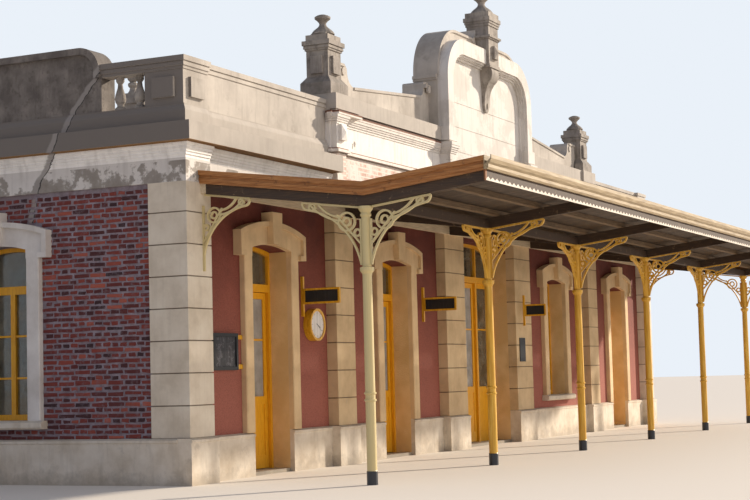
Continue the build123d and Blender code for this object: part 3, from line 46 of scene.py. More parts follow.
# colours are written as sRGB hex and turned to linear here
def linear(hexColour):
    parts = [int(hexColour[i:i + 2], 16) / 255 for i in (1, 3, 5)]
    return tuple(c / 12.92 if c <= 0.04045 else ((c + 0.055) / 1.055) ** 2.4 for c in parts) + (1.0,)


# texture scale at which a feature is that many millimetres wide
def perMetre(millimetres):
    return 1000.0 / millimetres


# Adds one node. Its settings are properties and inputs, or a ramp's "stops", which are "steps" where its
# colours don't blend. Its links are inputs that come from other nodes or outputs, or have a value.
def put(mat, kind, settings=None, links=None):
    node = mat.node_tree.nodes.new("ShaderNode" + kind)
    for key, value in {**(settings or {}), **(links or {})}.items():
        if isinstance(value, (bpy.types.Node, bpy.types.NodeSocket)):
            socket = value.outputs[0] if isinstance(value, bpy.types.Node) else value
            mat.node_tree.links.new(socket, node.inputs[key])
        elif key in ("stops", "steps"):
            ramp = node.color_ramp
            ramp.interpolation = "CONSTANT" if key == "steps" else "LINEAR"
            while len(ramp.elements) < len(value):
                ramp.elements.new(0.5)
            for element, (place, colour) in zip(ramp.elements, value):
                element.position = place
                element.color = linear(colour) if isinstance(colour, str) else (colour, colour, colour, 1)
        elif isinstance(key, int) or key in node.inputs:
            node.inputs[key].default_value = linear(value) if isinstance(value, str) else value
        else:
            setattr(node, key, value)
    return node


# starts a material and gives the place of a point on it, in metres
def newMaterial(name):
    mat = bpy.data.materials.new(name)
    mat.use_nodes = True
    mat.node_tree.nodes.clear()
    return mat, put(mat, "TexCoord").outputs["Object"]


# ends a material: a principled surface whose relief is bump metres high
def finishMaterial(mat, colour, rough, relief=0.0, bump=0.0):
    normal = put(mat, "Bump", {"Strength": 1.0, "Distance": bump}, {"Height": relief})
    links = {"Base Color": colour, "Roughness": rough, "Normal": normal}
    shader = put(mat, "BsdfPrincipled", {"IOR": 1.5}, links)
    put(mat, "OutputMaterial", {}, {"Surface": shader})
    return mat


# 1 where every test holds, else 0: a test is a value, LESS_THAN or GREATER_THAN, and its limit
def whereAll(mat, tests):
    holds = [put(mat, "Math", {"operation": way, 1: limit}, {0: value}) for value, way, limit in tests]
    mask = holds[0]
    for other in holds[1:]:
        mask = put(mat, "Math", {"operation": "MULTIPLY"}, {0: mask, 1: other})
    return mask


# how far a place lies from the middle on one axis, or how squarely a face is turned to that axis
def awayFrom(mat, vector, axis):
    parts = put(mat, "SeparateXYZ", {}, {"Vector": vector})
    return put(mat, "Math", {"operation": "ABSOLUTE"}, {0: parts.outputs[axis]})


# Lays a second colour or coat over a first where a value runs from start to full, and amount is how much
# it covers there.
def overlaid(mat, first, second, value, start=0.0, full=1.0, amount=1.0, blend="MIX"):
    cover = put(mat, "MapRange", {"From Min": start, "From Max": full, "To Max": amount}, {"Value": value})
    mix = {"data_type": "RGBA", "blend_type": blend}
    return put(mat, "Mix", mix, {"Factor": cover, "A": first, "B": second}).outputs[2]


# three tones of one coat in patches: low and high are the noise's values of shade and light
def inPatches(mat, look, place, detail, roughness, low, high):
    noise = {"Scale": perMetre(look["patch"]), "Detail": detail, "Roughness": roughness}
    patches = put(mat, "TexNoise", noise, {"Vector": place})
    stops = [(low, look["shade"]), (0.5, look["base"]), (high, look["light"])]
    return put(mat, "ValToRGB", {"stops": stops}, {"Fac": patches})


# The crack down the left end wall is a line across the wall told by height, made uneven by noise. Beside
# it runs a paler strip of later mortar. Its path is (height, place on Y), which lies within span of 0.
crackLook = {"low": 3.2, "high": 5.6, "span": 2.0, "endX": -9.9, "foot": 3.35, "wobble": 120, "sway": 0.09,
             "line": "#231f1d", "lineHalf": 0.009, "strip": "#9a948f", "stripHalf": 0.05,
             "beside": 0.045, "cover": 0.85,
             "path": [(3.43, -0.56), (3.76, -0.65), (4.02, -0.74), (4.17, -0.87), (4.4, -1.07),
                      (4.59, -1.15), (4.76, -1.23), (4.89, -1.27), (4.97, -1.33), (5.13, -1.48),
                      (5.34, -1.67), (5.5, -1.8)]}


def cracked(mat, place, colour):
    look = crackLook
    low, high, span, sway = (look[k] for k in ("low", "high", "span", "sway"))
    axes = put(mat, "SeparateXYZ", {}, {"Vector": place}).outputs
    share = put(mat, "MapRange", {"From Min": low, "From Max": high}, {"Value": axes["Z"]})
    stops = [((z - low) / (high - low), -y / span) for z, y in look["path"]]
    across = put(mat, "ValToRGB", {"stops": stops}, {"Fac": share})
    wobble = put(mat, "TexNoise", {"Scale": perMetre(look["wobble"]), "Detail": 5.0}, {"Vector": place})
    path = put(mat, "Math", {"operation": "MULTIPLY_ADD", 1: -span, 2: -sway / 2}, {0: across})
    swayed = put(mat, "Math", {"operation": "MULTIPLY_ADD", 1: sway}, {0: wobble, 2: path})
    offset = put(mat, "Math", {"operation": "SUBTRACT"}, {0: swayed, 1: axes["Y"]})
    marked = colour
    for tone, shift, half in ((look["strip"], look["beside"], look["stripHalf"]),
                              (look["line"], 0.0, look["lineHalf"])):
        shifted = put(mat, "Math", {"operation": "ADD", 1: shift}, {0: offset})
        near = put(mat, "Math", {"operation": "ABSOLUTE"}, {0: shifted})
        marked = overlaid(mat, marked, tone, near, start=half * 1.3, full=half * 0.7, amount=look["cover"])
    here = whereAll(mat, [(axes["X"], "LESS_THAN", look["endX"]),
                          (axes["Z"], "GREATER_THAN", look["foot"])])
    return overlaid(mat, colour, marked, here)


# Materials

# Brushed paint, limewash or bare cement on render. It gives soft blotches, rain streaks down the face,
# grime on ledges, a damp foot and a fine sandy grain. A look's sizes are in mm, its places in metres.
def weathered(name, look):
    mat, place = newMaterial(name)
    normal = put(mat, "NewGeometry").outputs["Normal"]
    axes = put(mat, "SeparateXYZ", {}, {"Vector": place}).outputs
    colour = inPatches(mat, look, place, detail=6.0, roughness=0.62, low=0.36, high=0.66)
    stretched = put(mat, "Mapping", {"Scale": (1.0, 1.0, look["streakRatio"])}, {"Vector": place})
    streaks = put(mat, "TexNoise", {"Scale": perMetre(look["streak"]), "Detail": 4.0, "Roughness": 0.55},
                  {"Vector": stretched})
    colour = overlaid(mat, colour, look["grime"], streaks, start=0.52, full=0.75,
                      amount=look["streakAmount"])
    # under the canopy the colour is multiplied by a warm tint: painted canopy shade with warm floor bounce
    if "canopyShadeTint" in look:
        underCanopy = whereAll(mat, [(awayFrom(mat, place, "X"), "LESS_THAN", look["canopyShadeX"]),
                                     (axes["Y"], "LESS_THAN", look["canopyShadeY"])])
        colour = overlaid(mat, colour, look["canopyShadeTint"], underCanopy, blend="MULTIPLY")
    blots = put(mat, "TexNoise", {"Scale": perMetre(look["blot"]), "Detail": 8.0, "Roughness": 0.7},
                {"Vector": place})
    colour = overlaid(mat, colour, look["under"], blots, start=look["blotStart"],
                      full=look["blotStart"] + 0.09, amount=look["blotAmount"])
    upward = put(mat, "SeparateXYZ", {}, {"Vector": normal}).outputs["Z"]
    colour = overlaid(mat, colour, look["grime"], upward, start=0.3, full=0.9, amount=look["ledge"])
    if "damp" in look:
        lifted = put(mat, "MapRange", {"From Min": 0.3, "From Max": 0.7, "To Min": -0.16, "To Max": 0.16},
                     {"Value": blots})
        wavy = put(mat, "Math", {"operation": "ADD"}, {0: axes["Z"], 1: lifted})
        colour = overlaid(mat, colour, look["damp"], wavy, start=look["footTop"], full=0.02,
                          amount=look["footAmount"])
    if "crack" in look:
        colour = cracked(mat, place, colour)
    # faces turned to the ends are darker: soot, and painted shade of those faces
    if "endSootAndShade" in look:
        endFaces = whereAll(mat, [(awayFrom(mat, normal, "X"), "GREATER_THAN", 0.6),
                                  (awayFrom(mat, place, "X"), "GREATER_THAN", look["endX"])])
        colour = overlaid(mat, colour, look["endSootAndShade"], endFaces)
    if "joints" in look:
        foot, pitch, half = look["joints"]
        above = put(mat, "Math", {"operation": "SUBTRACT", 1: foot}, {0: axes["Z"]})
        course = put(mat, "Math", {"operation": "PINGPONG", 1: pitch / 2}, {0: above})
        colour = overlaid(mat, colour, look["jointTone"], course, start=half * 1.6, full=half * 0.6,
                          amount=0.75)
    grain = put(mat, "TexNoise", {"Scale": perMetre(look["grain"]), "Detail": 3.0}, {"Vector": place})
    relief = put(mat, "Math", {"operation": "MULTIPLY_ADD", 1: 0.35}, {0: blots, 2: grain})
    rough = put(mat, "MapRange", {"To Min": look["rough"] - 0.06, "To Max": look["rough"] + 0.08},
                {"Value": grain})
    return finishMaterial(mat, colour, rough, relief, look["bump"])


# cream masonry paint on the pilasters' blocks: matt, sandy, with dark joints; warmer and darker under the
# canopy, which is painted shade with warm light bounced from the floor
paintedRender = weathered("paintedRender", {
    "base": "#d9cdba", "shade": "#c9bca8", "light": "#e4dac8", "grime": "#8d8372", "under": "#b3a795",
    "damp": "#a3988a", "patch": 600, "streak": 60, "streakRatio": 0.06, "streakAmount": 0.14, "blot": 220,
    "blotStart": 0.6, "blotAmount": 0.25, "ledge": 0.4, "footTop": 0.85, "footAmount": 0.2, "grain": 7,
    "rough": 0.8, "bump": 0.0012, "canopyShadeTint": "#f4e2c4", "canopyShadeX": 9.2, "canopyShadeY": -2.7,
    "joints": (0.592, 0.41, 0.007), "jointTone": "#5b4a38"})
# limewash on the surrounds and hoods: chalky grey-white; ochre under the canopy, which is painted warm shade
ochreRender = weathered("ochreRender", {
    "base": "#d9d3cc", "shade": "#ccc5bd", "light": "#e4dfd8", "grime": "#8f877c", "under": "#b3aaa0",
    "damp": "#94805c", "patch": 520, "streak": 70, "streakRatio": 0.06, "streakAmount": 0.12, "blot": 240,
    "blotStart": 0.62, "blotAmount": 0.25, "ledge": 0.3, "footTop": 0.9, "footAmount": 0.2, "grain": 7,
    "rough": 0.78, "bump": 0.0012, "canopyShadeTint": "#ffe4b8", "canopyShadeX": 9.7, "canopyShadeY": -2.0})
# cement plinths and sills with old limewash: blotched, damp and dirty at the foot
plinthRender = weathered("plinthRender", {
    "base": "#d6cab8", "shade": "#c6b8a4", "light": "#e2d8c8", "grime": "#8b8071", "under": "#a4988a",
    "damp": "#8f8476", "patch": 420, "streak": 90, "streakRatio": 0.15, "streakAmount": 0.25, "blot": 260,
    "blotStart": 0.6, "blotAmount": 0.4, "ledge": 0.3, "footTop": 0.2, "footAmount": 0.5, "grain": 8,
    "rough": 0.85, "bump": 0.002})
# bare cement render of the parapets: warm grey-beige, lichen on ledges, faint rain streaks, and darker grey
# on the faces turned to the ends: soot, and painted shade of those faces
cementRender = weathered("cementRender", {
    "base": "#b9b1a7", "shade": "#a69e94", "light": "#c9c1b6", "grime": "#746c62", "under": "#8f877c",
    "patch": 900, "streak": 90, "streakRatio": 0.12, "streakAmount": 0.28, "blot": 260, "blotStart": 0.58,
    "blotAmount": 0.4, "ledge": 0.35, "grain": 6, "rough": 0.88, "bump": 0.0016, "endSootAndShade": "#7b746e",
    "endX": 9.9})
# the same cement, blackened by soot and lichen in streaks: pinnacles, balusters, pier and balls
darkCement = weathered("darkCement", {
    "base": "#9a928a", "shade": "#7f786f", "light": "#b0a89d", "grime": "#544d45", "under": "#69625a",
    "patch": 420, "streak": 70, "streakRatio": 0.12, "streakAmount": 0.5, "blot": 200, "blotStart": 0.54,
    "blotAmount": 0.5, "ledge": 0.6, "grain": 6, "rough": 0.88, "bump": 0.0018})
# the end parapets' cement, nearly black and coarse to the eye: soot, and painted shade of the end faces
sootAndShadeCement = weathered("sootAndShadeCement", {
    "base": "#77706a", "shade": "#645d58", "light": "#8a827b", "grime": "#433d39", "under": "#575049",
    "patch": 300, "streak": 60, "streakRatio": 0.2, "streakAmount": 0.4, "blot": 90, "blotStart": 0.54,
    "blotAmount": 0.6, "ledge": 0.6, "grain": 8, "rough": 0.9, "bump": 0.003, "crack": True})
# roof screed, grey and stained where water stands
roofScreed = weathered("roofScreed", {
    "base": "#8f897f", "shade": "#7a746a", "light": "#a19b90", "grime": "#4f4a42", "under": "#6d675d",
    "patch": 700, "streak": 400, "streakRatio": 1.0, "streakAmount": 0.4, "blot": 500, "blotStart": 0.55,
    "blotAmount": 0.5, "ledge": 0.1, "grain": 10, "rough": 0.9, "bump": 0.004})
# cast floor of cement, worn smooth
floorCement = weathered("floorCement", {
    "base": "#948a7b", "shade": "#80776a", "light": "#a59b8b", "grime": "#5e564b", "under": "#6f675a",
    "patch": 600, "streak": 300, "streakRatio": 1.0, "streakAmount": 0.4, "blot": 300, "blotStart": 0.56,
    "blotAmount": 0.4, "ledge": 0.0, "grain": 5, "rough": 0.7, "bump": 0.0015})


# A wall is painted otherwise inside, where smooth distemper lies, and on its reveals, which are limewashed.
# Both are told by where a face lies and how it is turned. "across" is the axis along the wall.
innerLook = {"inside": "#c9bfae", "innerX": 9.787, "innerY": 2.382, "revealPatch": 500}


def splitWall(mat, place, look, outside, relief):
    apart = {k: awayFrom(mat, place, k) for k in ("X", "Y")}
    inside = whereAll(mat, [(apart["X"], "LESS_THAN", look["innerX"]),
                            (apart["Y"], "LESS_THAN", look["innerY"])])
    colour = overlaid(mat, outside, look["inside"], inside)
    normal = put(mat, "NewGeometry").outputs["True Normal"]
    isReveal = whereAll(mat, [(awayFrom(mat, normal, look["across"]), "GREATER_THAN", 0.5)])
    worn = put(mat, "TexNoise", {"Scale": perMetre(look["revealPatch"]), "Detail": 6.0}, {"Vector": place})
    stops = [(0.4, look["revealShade"]), (0.6, look["reveal"])]
    paint = put(mat, "ValToRGB", {"stops": stops}, {"Fac": worn})
    colour = overlaid(mat, colour, paint, isReveal)
    if "end" in look:
        atEnd = whereAll(mat, [(apart["X"], "GREATER_THAN", look["innerX"])])
        colour = overlaid(mat, colour, look["end"], atEnd)
    return finishMaterial(mat, colour, rough=0.9, relief=relief, bump=look["bump"])


# Red masonry paint on thrown roughcast: a pebbly face of 14 mm grit, dusty, and paler towards its foot,
# which is painted light bounced up from the floor
# the reveals' warm tan is limewash made brighter: painted light bounced from the floor and the yellow doors
redWallLook = {**innerLook, "base": "#6b3024", "shade": "#5a271e", "light": "#7b3a2c", "patch": 700,
               "grit": 14, "bump": 0.004, "dust": "#8a584a", "dustPatch": 350, "floorBounce": "#b36f60",
               "floorBounceTop": 3.6, "floorBounceFoot": 1.0, "across": "X", "reveal": "#e6c794", "revealShade": "#d6b47e"}


def redRoughcast(look):
    mat, place = newMaterial("redRoughcast")
    colour = inPatches(mat, look, place, detail=7.0, roughness=0.65, low=0.34, high=0.68)
    height = put(mat, "SeparateXYZ", {}, {"Vector": place}).outputs["Z"]
    # painted light: paler from 3.6 m down to 1 m, as if lit from the floor
    colour = overlaid(mat, colour, look["floorBounce"], height, start=look["floorBounceTop"], full=look["floorBounceFoot"],
                      amount=0.8)
    dust = put(mat, "TexNoise", {"Scale": perMetre(look["dustPatch"]), "Detail": 9.0, "Roughness": 0.75},
               {"Vector": place})
    colour = overlaid(mat, colour, look["dust"], dust, start=0.55, full=0.72, amount=0.4)
    grit = put(mat, "TexVoronoi", {"feature": "SMOOTH_F1", "Scale": perMetre(look["grit"])},
               {"Vector": place})
    # painted shade in the grit's hollows and painted highlight on its tops, multiplied over the colour
    hollowShade = put(mat, "MapRange", {"From Min": 0.0, "From Max": 0.7, "To Min": 1.08, "To Max": 0.72},
                 {"Value": grit})
    colour = overlaid(mat, colour, hollowShade, 1.0, blend="MULTIPLY")
    relief = put(mat, "Math", {"operation": "MULTIPLY", 1: -1.0}, {0: grit})
    return splitWall(mat, place, look, colour, relief)


redWall = redRoughcast(redWallLook)
# the aprons and heads of the windows are red in front and bare mortar at the ends
apronWall = redRoughcast(dict(redWallLook, end="#83767b"))

# Lime mortar between and behind the bricks: grey-mauve and rough, with red brick dust
mortarLook = {**innerLook, "base": "#8b8087", "shade": "#776c73", "light": "#9d929a", "patch": 160,
              "grit": 5, "bump": 0.003, "dust": "#74504c", "dustPatch": 90, "across": "Y",
              "reveal": "#c9bca4", "revealShade": "#b3a68e"}


def limeMortar(look):
    mat, place = newMaterial("limeMortar")
    colour = inPatches(mat, look, place, detail=7.0, roughness=0.7, low=0.36, high=0.64)
    dust = put(mat, "TexNoise", {"Scale": perMetre(look["dustPatch"]), "Detail": 6.0}, {"Vector": place})
    colour = overlaid(mat, colour, look["dust"], dust, start=0.5, full=0.7, amount=0.5)
    grit = put(mat, "TexNoise", {"Scale": perMetre(look["grit"]), "Detail": 2.0}, {"Vector": place})
    return splitWall(mat, place, look, colour, grit)


mortar = limeMortar(mortarLook)

# Clamp-fired clay brick: each has its own tone, an attribute of its mesh, with mortar and soot over it
brickLook = {"dark": "#33181d", "red": "#662925", "warm": "#83382d", "orange": "#ab5845", "smear": "#83767b",
             "soot": "#46292b", "smearPatch": 60, "sootPatch": 900, "grit": 6, "bump": 0.003}


def clayBrick(look):
    mat, place = newMaterial("clayBrick")
    tone = put(mat, "Attribute", {"attribute_name": "tone"}).outputs["Fac"]
    stops = [(0.0, look["dark"]), (0.3, look["red"]), (0.7, look["warm"]), (1.0, look["orange"])]
    colour = put(mat, "ValToRGB", {"stops": stops}, {"Fac": tone})
    smear = put(mat, "TexNoise", {"Scale": perMetre(look["smearPatch"]), "Detail": 8.0, "Roughness": 0.72},
                {"Vector": place})
    colour = overlaid(mat, colour, look["smear"], smear, start=0.52, full=0.68, amount=0.55)
    soot = put(mat, "TexNoise", {"Scale": perMetre(look["sootPatch"]), "Detail": 5.0}, {"Vector": place})
    colour = overlaid(mat, colour, look["soot"], soot, start=0.5, full=0.75, amount=0.45)
    grit = put(mat, "TexNoise", {"Scale": perMetre(look["grit"]), "Detail": 3.0}, {"Vector": place})
    colour = cracked(mat, place, colour)
    return finishMaterial(mat, colour, rough=0.88, relief=grit, bump=look["bump"])


brick = clayBrick(brickLook)

# Whitewashed render in bands told apart by height: white on the frieze, white fillets under a rust-stained
# edge, bare cement above. Paint flakes off it, and on the attic pale bricks show through.
paleBricks = {"Color1": "#c2907c", "Color2": "#cfa08d", "Mortar": "#e6dacd", "Scale": 1.0,
              "Brick Width": 0.26, "Row Height": 0.07, "Mortar Size": 0.012}
# the fillets' white from 4.15 m is made brighter than the frieze below: painted light for sun on them
entablatureLook = {"low": 3.8, "high": 5.6,
                   "bands": [(3.8, "#ddd8d2"), (4.15, "#fbf8f3"), (4.31, "#fbf8f3"), (4.341, "#9a7448"),
                             (4.354, "#b3aba1")],
                   "bare": "#9b948c", "dirt": "#8a8279", "flake": 420, "flakeTop": 4.12, "flakeStart": 0.5,
                   "brickTop": 3.0, "brickStart": 0.5, "streak": 80, "streakRatio": 0.1,
                   "streakAmount": 0.25, "dark": "#8b8177", "grain": 6, "bump": 0.0022, "soot": "#77706a",
                   "sootAndShadeLow": 4.356, "endX": 10.2}
# grey lines at 4.655, 5.142, 5.174 and 5.208 m between white fillets: painted shade in the mouldings' steps
atticBands = [(3.8, "#f0e6dd"), (4.655, "#9a8a7e"), (4.675, "#f0e8e0"), (4.722, "#8a6450"),
              (4.742, "#f6f1ea"), (5.11, "#efe9e1"), (5.142, "#b5aca4"), (5.147, "#f2ece5"),
              (5.174, "#b5aca4"), (5.18, "#f0eae2"), (5.208, "#a99f96"), (5.213, "#e6ded5"),
              (5.27, "#8c6550"), (5.29, "#6b473a"), (5.305, "#b9b1a7")]
atticLook = dict(entablatureLook, bands=atticBands, flakeStart=0.62, flakeTop=5.1, brickTop=4.64,
                 brickStart=0.46)
panelLook = dict(atticLook, bands=[(3.8, "#cfc8be"), (4.655, "#bcb4a9"), (5.0, "#d9d3cb")], flakeStart=0.47,
                 flakeTop=7.2, bare="#e0dbd4", dirt="#e6e2dc", flake=900, brickTop=3.0)


def bandedRender(name, look):
    mat, place = newMaterial(name)
    axes = put(mat, "SeparateXYZ", {}, {"Vector": place}).outputs
    low, high = look["low"], look["high"]
    share = put(mat, "MapRange", {"From Min": low, "From Max": high}, {"Value": axes["Z"]})
    steps = [((level - low) / (high - low), colour) for level, colour in look["bands"]]
    bands = put(mat, "ValToRGB", {"steps": steps}, {"Fac": share})
    flakes = put(mat, "TexNoise", {"Scale": perMetre(look["flake"]), "Detail": 10.0, "Roughness": 0.66},
                 {"Vector": place})
    mottle = put(mat, "MapRange", {"From Min": 0.3, "From Max": 0.7, "To Min": 0.86, "To Max": 1.06},
                 {"Value": flakes})
    colour = overlaid(mat, bands, mottle, 1.0, blend="MULTIPLY")
    bare = put(mat, "ValToRGB", {"stops": [(0.55, look["bare"]), (0.68, look["dirt"])]}, {"Fac": flakes})
    loose = put(mat, "MapRange", {"From Min": look["flakeStart"], "From Max": look["flakeStart"] + 0.04},
                {"Value": flakes})
    within = whereAll(mat, [(axes["Z"], "LESS_THAN", look["flakeTop"])])
    peeled = put(mat, "Math", {"operation": "MULTIPLY"}, {0: loose, 1: within})
    colour = overlaid(mat, colour, bare, peeled)
    flat = put(mat, "CombineXYZ", {}, {"X": axes["X"], "Y": axes["Z"]})
    courses = put(mat, "TexBrick", paleBricks, {"Vector": flat})
    bricked = overlaid(mat, colour, courses, flakes, start=look["brickStart"], full=look["brickStart"] + 0.1,
                       amount=0.75)
    colour = overlaid(mat, colour, bricked, whereAll(mat, [(axes["Z"], "LESS_THAN", look["brickTop"])]))
    stretched = put(mat, "Mapping", {"Scale": (1.0, 1.0, look["streakRatio"])}, {"Vector": place})
    streaks = put(mat, "TexNoise", {"Scale": perMetre(look["streak"]), "Detail": 5.0}, {"Vector": stretched})
    colour = overlaid(mat, colour, look["dark"], streaks, start=0.5, full=0.75, amount=look["streakAmount"])
    # faces turned to the ends above the cornice are darker: soot, and painted shade of those faces
    normal = put(mat, "NewGeometry").outputs["True Normal"]
    sootAndShadeOnEnds = whereAll(mat, [(awayFrom(mat, place, "X"), "GREATER_THAN", look["endX"]),
                           (axes["Z"], "GREATER_THAN", look["sootAndShadeLow"]),
                           (awayFrom(mat, normal, "X"), "GREATER_THAN", 0.5)])
    colour = cracked(mat, place, overlaid(mat, colour, look["soot"], sootAndShadeOnEnds))
    grain = put(mat, "TexNoise", {"Scale": perMetre(look["grain"]), "Detail": 3.0}, {"Vector": place})
    relief = put(mat, "Math", {"operation": "MULTIPLY_ADD", 1: 0.6}, {0: peeled, 2: grain})
    return finishMaterial(mat, colour, rough=0.88, relief=relief, bump=look["bump"])


entablature = bandedRender("flakingEntablature", entablatureLook)
atticRender = bandedRender("whitewashedAttic", atticLook)
panelRender = bandedRender("pedimentPanel", panelLook)


# Oil paint on softwood or cast iron. It gives brush marks along the piece and chips that show what lies
# under it. "along" is the way the brush went; a zone is (from, to, tone) on X, on both sides if mirrored.
# A look names only what differs from plain paint.
upright = (1.0, 1.0, 0.08)
lengthwise = (0.05, 1.0, 1.0)
inward = (1.0, 0.06, 1.0)
plainPaint = {"along": upright, "brush": 14, "chip": 60, "chipStart": 0.66, "chipAmount": 0.6, "rough": 0.6,
              "bump": 0.0006}


def oilPaint(name, look):
    look = dict(plainPaint, **look)
    mat, place = newMaterial(name)
    axes = put(mat, "SeparateXYZ", {}, {"Vector": place}).outputs
    brushed = put(mat, "Mapping", {"Scale": look["along"]}, {"Vector": place})
    marks = put(mat, "TexNoise", {"Scale": perMetre(look["brush"]), "Detail": 4.0}, {"Vector": brushed})
    stops = [(0.35, look["shade"]), (0.52, look["base"]), (0.7, look["light"])]
    colour = put(mat, "ValToRGB", {"stops": stops}, {"Fac": marks})
    chips = put(mat, "TexNoise", {"Scale": perMetre(look["chip"]), "Detail": 9.0, "Roughness": 0.75},
                {"Vector": place})
    chipped = put(mat, "MapRange", {"From Min": look["chipStart"], "From Max": look["chipStart"] + 0.03,
                                    "To Max": look["chipAmount"]}, {"Value": chips})
    colour = overlaid(mat, colour, look["under"], chipped)
    if "foot" in look:
        colour = overlaid(mat, colour, look["foot"], axes["Z"], start=look["footTop"],
                          full=look["footTop"] * 0.1, amount=look["footAmount"])
    if "zone" in look:
        left, right, tone = look["zone"]
        across = awayFrom(mat, place, "X") if "mirrored" in look else axes["X"]
        inZone = put(mat, "Math", {"operation": "COMPARE", 1: (left + right) / 2, 2: (right - left) / 2},
                     {0: across})
        colour = overlaid(mat, colour, tone, inZone)
    if "black" in look:
        band = whereAll(mat, [(axes["Z"], "LESS_THAN", look["blackTop"])])
        colour = overlaid(mat, colour, look["black"], band)
    relief = put(mat, "Math", {"operation": "MULTIPLY_ADD", 1: -0.8}, {0: chipped, 2: marks})
    rough = put(mat, "MapRange", {"To Min": look["rough"] - 0.08, "To Max": look["rough"] + 0.12},
                {"Value": marks})
    return finishMaterial(mat, colour, rough, relief, look["bump"])


# ochre-yellow gloss on pine doors and windows, brown wood in the chips, dirty at the foot
ochreJoinery = oilPaint("ochreJoinery", {
    "base": "#e5a51a", "shade": "#d89512", "light": "#f0b42c", "under": "#a07438", "brush": 9,
    "chipAmount": 0.7, "foot": "#b08430", "footTop": 0.5, "footAmount": 0.35, "rough": 0.45})
# dusty dark brown oil paint on the canopy's timbers, browner on the end rafters
canopyTimber = oilPaint("canopyTimber", {
    "base": "#3d2c1e", "shade": "#302117", "light": "#4d3a28", "under": "#8a7458", "along": inward,
    "brush": 12, "chip": 120, "chipStart": 0.6, "chipAmount": 0.5, "zone": (9.95, 10.6, "#855732"),
    "mirrored": True, "rough": 0.7, "bump": 0.0012})
# tan oil paint on the purlins, lighter than the rafters as painted light, since they take more light
purlinPaintAndLight = oilPaint("purlinPaintAndLight", {
    "base": "#6f5a42", "shade": "#5c4934", "light": "#826c52", "under": "#4a3a2a", "along": lengthwise,
    "brush": 12, "chip": 120, "chipStart": 0.58, "chipAmount": 0.5, "rough": 0.7, "bump": 0.0012})
# tan-brown oil paint on the end fascias, chipped to the wood
fasciaPaint = oilPaint("fasciaPaint", {
    "base": "#a8713c", "shade": "#935f2f", "light": "#bb8550", "under": "#6a4526", "along": inward,
    "chip": 140, "chipStart": 0.6, "bump": 0.001})
# cream oil paint on the sheet-iron gutter, rusty where it has chipped
gutterPaint = oilPaint("gutterPaint", {
    "base": "#a39070", "shade": "#8f7b5c", "light": "#b6a485", "under": "#7a5c42", "along": lengthwise,
    "brush": 16, "chip": 110, "chipStart": 0.64, "chipAmount": 0.7, "rough": 0.5, "bump": 0.0008})
# golden oil paint on cast iron, smooth and a little glossy, with black feet; the first column is paler
columnPaint = oilPaint("columnPaint", {
    "base": "#d9a93c", "shade": "#c8962e", "light": "#e6bd58", "under": "#7a5a3a", "brush": 30,
    "chip": 70, "chipAmount": 0.85, "foot": "#b88c38", "footTop": 0.6, "footAmount": 0.3,
    "zone": (-11.0, -8.2, "#d0bf8c"), "black": "#2b2d33", "blackTop": 0.168, "rough": 0.38,
    "bump": 0.0008})
# black paint on the boards, the sign panels and the clock's hands, dull with age
blackPaint = oilPaint("blackPaint", {
    "base": "#191a1d", "shade": "#121315", "light": "#232529", "under": "#4a4038", "brush": 20,
    "chip": 50, "chipStart": 0.64, "rough": 0.55})
# yellow enamel on the clock's rim, the signs' frames and the board's tabs: smooth and glossy
yellowEnamel = oilPaint("yellowEnamel", {
    "base": "#d9a21c", "shade": "#c48d14", "light": "#e6b53a", "under": "#7a5a2a", "brush": 15,
    "chip": 40, "chipStart": 0.68, "rough": 0.35, "bump": 0.0004})
# cream oil paint on the plate along the wall
creamPlate = oilPaint("creamPlate", {
    "base": "#d3c2a6", "shade": "#c0ae91", "light": "#e0d2b8", "under": "#8b7355", "along": lengthwise,
    "chip": 120, "chipAmount": 0.5, "bump": 0.0008})
# white oil paint on the saw-toothed strip, greyed by weather
stripPaint = oilPaint("stripPaint", {
    "base": "#cfc5b8", "shade": "#b9ad9e", "light": "#dcd3c8", "under": "#8b7a68", "along": lengthwise,
    "chipStart": 0.62})
# aged ivory enamel of the dial and glazed porcelain of the lamps and insulators: pale, smooth, shining
dialEnamel = oilPaint("dialEnamel", {
    "base": "#d9d3cc", "shade": "#c9c2ba", "light": "#e6e1da", "under": "#8d7f6c", "brush": 60,
    "chipStart": 0.68, "chipAmount": 0.5, "rough": 0.2, "bump": 0.0002})
# slate-grey paint on a notice board, with the remains of what was stuck on it
wornBoard = oilPaint("wornBoard", {
    "base": "#2d2d31", "shade": "#1e1e22", "light": "#45444a", "under": "#77757a", "brush": 40,
    "chipStart": 0.55, "chipAmount": 0.5, "bump": 0.0012})
# zinc-coated corrugated iron, so old that dust and rust cover the metal: brown and dull
zincSheet = oilPaint("zincSheet", {
    "base": "#54473c", "shade": "#433a33", "light": "#6a5d50", "under": "#4b3024", "along": inward,
    "brush": 30, "chip": 160, "chipStart": 0.6, "rough": 0.55})

# Old drawn window glass: slightly wavy, with a film of dust that shows as a pale haze
glassLook = {"tint": "#dfe6e2", "dust": "#b5aa96", "wave": 90, "dustPatch": 200, "bump": 0.0006,
             "least": 0.02, "most": 0.3}


